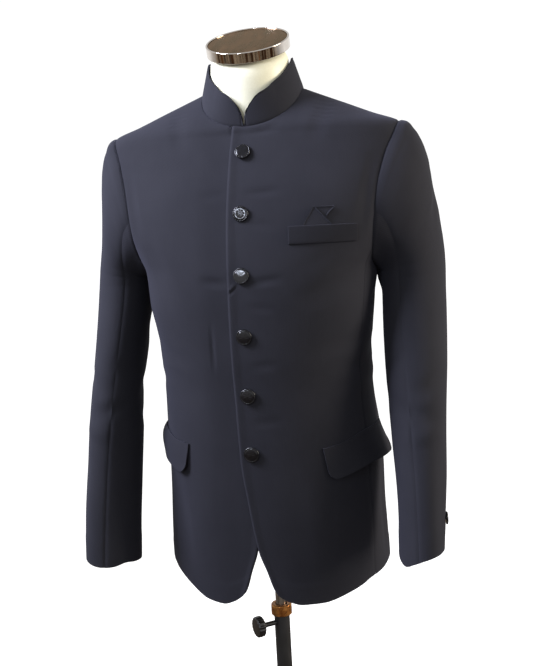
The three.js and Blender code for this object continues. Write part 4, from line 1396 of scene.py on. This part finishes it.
for k, tip in enumerate(button["tips"]):
    node = f"front_button_{k + 1}"
    centre = nodeCentre(node)
    outward = outwardAt(facePoint(0, centre.z - hemLevel))
    outward.x = 0
    outward.normalize()
    point = centre - outward * button["height"] / 2
    tipped = Matrix.Rotation(math.radians(-tip), 3, "X") @ outward
    placeButton(f"frontButton{k + 1}", node, 1, point, tipped, button["turnStep"] * k)
for side, way in sideWays.items():
    node = f"{side}_cuff_button"
    turn = math.radians(button["cuffTurns"][side])
    outward = Vector((way * math.cos(turn), math.sin(turn), 0))
    size = button["cuffRadius"] / button["radius"]
    point = nodeCentre(node) - outward * button["height"] * size / 2
    placeButton(f"{side}CuffButton", node, size, point, outward, button["cuffSpin"])
print("buttons made")


# Dress form and stand

def copiedPiece(name, node, material, body, look):
    # the CAD node's own shape with its doubles merged and its facets smoothed away
    bm = bmesh.new()
    bm.from_mesh(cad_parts[node].data)
    bmesh.ops.remove_doubles(bm, verts=bm.verts, dist=0.02 * millimetre)
    bmesh.ops.join_triangles(bm, faces=bm.faces, angle_face_threshold=0.7, angle_shape_threshold=0.7)
    bmesh.ops.scale(bm, vec=(1 / millimetre,) * 3, verts=bm.verts)
    piece = linkPiece(name, bm, material)
    if "smoothing" in look:
        smoother = piece.modifiers.new("smoothShell", "SUBSURF")
        smoother.levels = look["smoothing"]
        smoother.render_levels = look["smoothing"]
    if "edge" in look:
        roundEdges(piece, look["edge"], 2, look["sharpest"])
    standFor(piece, body, node)


copiedPiece("dressFormShell", "dress_form", gelCoat, "figure", {"smoothing": 1})

neckTop = {"centre": (0, -15, 1519), "tilt": 23.5, "radius": 63.4, "wall": 3, "height": 16, "gap": 0.3}
onNeck = Matrix.Translation(neckTop["centre"]) @ Matrix.Rotation(math.radians(neckTop["tilt"]), 4, "X")
inner = neckTop["radius"] - neckTop["wall"]
outer, foot, plate = neckTop["radius"], -neckTop["height"], inner - neckTop["gap"]
spunPiece("neckBand", [(inner, foot), (outer, foot), (outer, 0), (inner, 0)], chrome, "figure", "neck_band",
          {"closed": True, "steps": 128, "place": onNeck, "edge": 0.8})
spunPiece("neckCap", [(0, foot), (plate, foot), (plate, -1.6), (inner - 6, -1.1), (inner - 26, -1), (0, -1)],
          bronzePlate, "figure", "neck_cap", {"steps": 128, "place": onNeck, "edge": 0.5})

stand = {
    "base": [
        (0, 0), (190, 0), (190, 6), (183, 10), (60, 15), (24, 18), (22, 44), (12.9, 44), (12.9, 14), (0, 14),
    ],
    "bore": 9.6,
    "ringRadius": 16.8,
    "ring": (609, 627),
    "poleRadius": 9,
    "pole": (400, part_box("pole")[1][2] / millimetre),
}
knob = {
    "height": 596,
    "way": (-0.78, -0.62, 0),
    "outline": [
        (0, 9.3), (4, 9.3), (4, 32), (9, 33), (9, 35), (15.5, 36), (17, 38), (17, 46), (15.5, 48),
        (8, 48.4), (0, 48.5),
    ],
    "lobes": 16,
    "scallop": 0.06,  # share of the radius
    "gripReach": (11, 15),
}
spunPiece("basePlate", stand["base"], powderCoat, "stand", "base_plate",
          {"steps": 128, "edge": 1.5, "sharpest": 14})
copiedPiece("standTube", "stand_tube", powderCoat, "stand", {"edge": 0.3, "sharpest": 50})
foot, top = stand["ring"]
spunPiece("clampRing", [
    (stand["bore"], foot), (stand["ringRadius"], foot), (stand["ringRadius"], top), (stand["bore"], top),
], lacqueredBrass, "stand", "clamp_ring", {"closed": True, "steps": 64, "edge": 1.6})
foot, top = stand["pole"]
spunPiece("steelPole", [(0, foot), (stand["poleRadius"], foot), (stand["poleRadius"], top), (0, top)],
          platedSteel, "figure", "pole", {"steps": 64, "edge": 0.8})


def scallop(co):
    radius, turn = math.hypot(co.x, co.y), math.atan2(co.y, co.x)
    hollow = math.cos(knob["lobes"] / 2 * turn) ** 2 * ramp(*knob["gripReach"], radius)
    grip = 1 - knob["scallop"] * hollow
    return Vector((co.x * grip, co.y * grip, co.z))


spunPiece("heightKnob", knob["outline"], mouldedNylon, "knob", "height_knob", {
    "steps": 96, "edge": 0.7, "shape": scallop,
    "place": turnTo((0, 0, knob["height"]), Vector(knob["way"]).normalized()),
})
print("form and stand made")


# Studio

studio = {
    "sky": 1.05,
    "ceiling": 0.45,
    "skyHeights": (0.35, 0.8),  # shares of straight up between which sky turns to ceiling
    "horizon": (-0.3, -0.04),  # and between which the room turns to sky
    # what lies round the jacket below eye level: a dim room of dark and brown uprights
    "roomTones": ("#0a0908", "#17110d", "#4a2f1c", "#161312", "#a08e78", "#0d0c0c", "#7c4a20", "#131010"),
    "roomSpan": (0.32, 0.68),
    "softboxes": {
        "keySoftbox": {
            "at": (-1.5, -0.7, 2.5), "size": (0.8, 1.0), "power": 29.5, "tint": "#e5e9ff",
            "aim": (-0.1, 0, 1.45), "spread": 75,
        },
        "windowSoftbox": {
            "at": (-0.63, -2.6, 2.11), "size": (0.42, 0.34), "power": 15, "tint": "#e2ecff",
            "aim": (0, 0, 1.3), "spread": 180,
        },
        "warmSoftbox": {
            "at": (2.6, 0.1, 1.75), "size": (0.9, 1.3), "power": 38, "tint": "#fff4e2",
            "aim": (0.2, 0, 1.3), "spread": 120,
        },
    },
    "floorTones": ("#f7f7f6", "#fbfbfa"),
    "floorGlow": 0.5,
    "floorReach": 90000,
}


def aimAt(place, target):
    way = Vector(target) - Vector(place)
    return Matrix.Translation(place) @ way.to_track_quat("-Z", "Y").to_matrix().to_4x4()


def softbox(name, look):
    light = bpy.data.lights.new(name, "AREA")
    light.shape = "RECTANGLE"
    light.size, light.size_y = look["size"]
    light.spread = math.radians(look["spread"])
    light.energy = look["power"]
    light.color = linear(look["tint"])[:3]
    lamp = bpy.data.objects.new(name, light)
    lamp.matrix_world = aimAt(look["at"], look["aim"])
    lamp.visible_camera = False
    bpy.context.scene.collection.objects.link(lamp)


def makeSky(look):
    # white above the horizon, and below it the room that polished metal mirrors
    world = bpy.data.worlds.new("paleStudio")
    world.use_nodes = True
    tree = world.node_tree
    place = addNode(tree, "ShaderNodeTexCoord")
    apart = addNode(tree, "ShaderNodeSeparateXYZ", {}, {"Vector": (place, "Generated")})
    flat = addNode(tree, "ShaderNodeMapping", {"Scale": (1, 1, 0)}, {"Vector": (place, "Generated")})
    around = addNode(tree, "ShaderNodeVectorMath", {"operation": "NORMALIZE"}, {0: (flat, "Vector")})
    uprights = addNode(tree, "ShaderNodeTexNoise", {"Scale": 5, "Detail": 5, "Roughness": 0.8},
                       {"Vector": (around, "Vector")})
    room = addNode(tree, "ShaderNodeValToRGB", {}, {"Fac": (uprights, "Fac")})
    stops = room.color_ramp.elements
    while len(stops) < len(look["roomTones"]):
        stops.new(0.5)
    for k, tone in enumerate(look["roomTones"]):
        stops[k].position = mix(*look["roomSpan"], k / (len(look["roomTones"]) - 1))
        stops[k].color = linear(tone)
    overhead = addNode(tree, "ShaderNodeValToRGB", {}, {"Fac": (apart, "Z")})
    levels = look["sky"], look["ceiling"]
    for stop, height, level in zip(overhead.color_ramp.elements, look["skyHeights"], levels):
        stop.position = height
        stop.color = (level, level, level, 1)
    low, high = look["horizon"]
    above = addNode(tree, "ShaderNodeMapRange", {"From Min": low, "From Max": high}, {"Value": (apart, "Z")})
    both = addNode(tree, "ShaderNodeMix", {"data_type": "RGBA"}, {
        0: (above, "Result"), 6: (room, "Color"), 7: (overhead, "Color"),
    })
    tree.links.new(both.outputs[2], tree.nodes["Background"].inputs["Color"])
    bpy.context.scene.world = world
    bpy.context.scene.view_settings.view_transform = "Standard"


def makeFloor(look):
    # painted board: pale and matt, and lit a little from below so that it melts into the background
    board = makeFinish("paintedBoard", {
        "Specular IOR Level": 0.2,
        "Emission Color": linear("#ffffff"),
        "Emission Strength": look["floorGlow"],
    }, {
        "tones": look["floorTones"], "grain": 3, "patch": 400, "gloss": (0.7, 0.8), "bump": 0.02,
    })
    bm = bmesh.new()
    bmesh.ops.create_grid(bm, x_segments=8, y_segments=8, size=look["floorReach"])
    floor = linkPiece("studioFloor", bm, board)
    floor.visible_diffuse = False
    floor.visible_glossy = False


makeSky(studio)
for name, look in studio["softboxes"].items():
    softbox(name, look)
makeFloor(studio)
print("studio made")
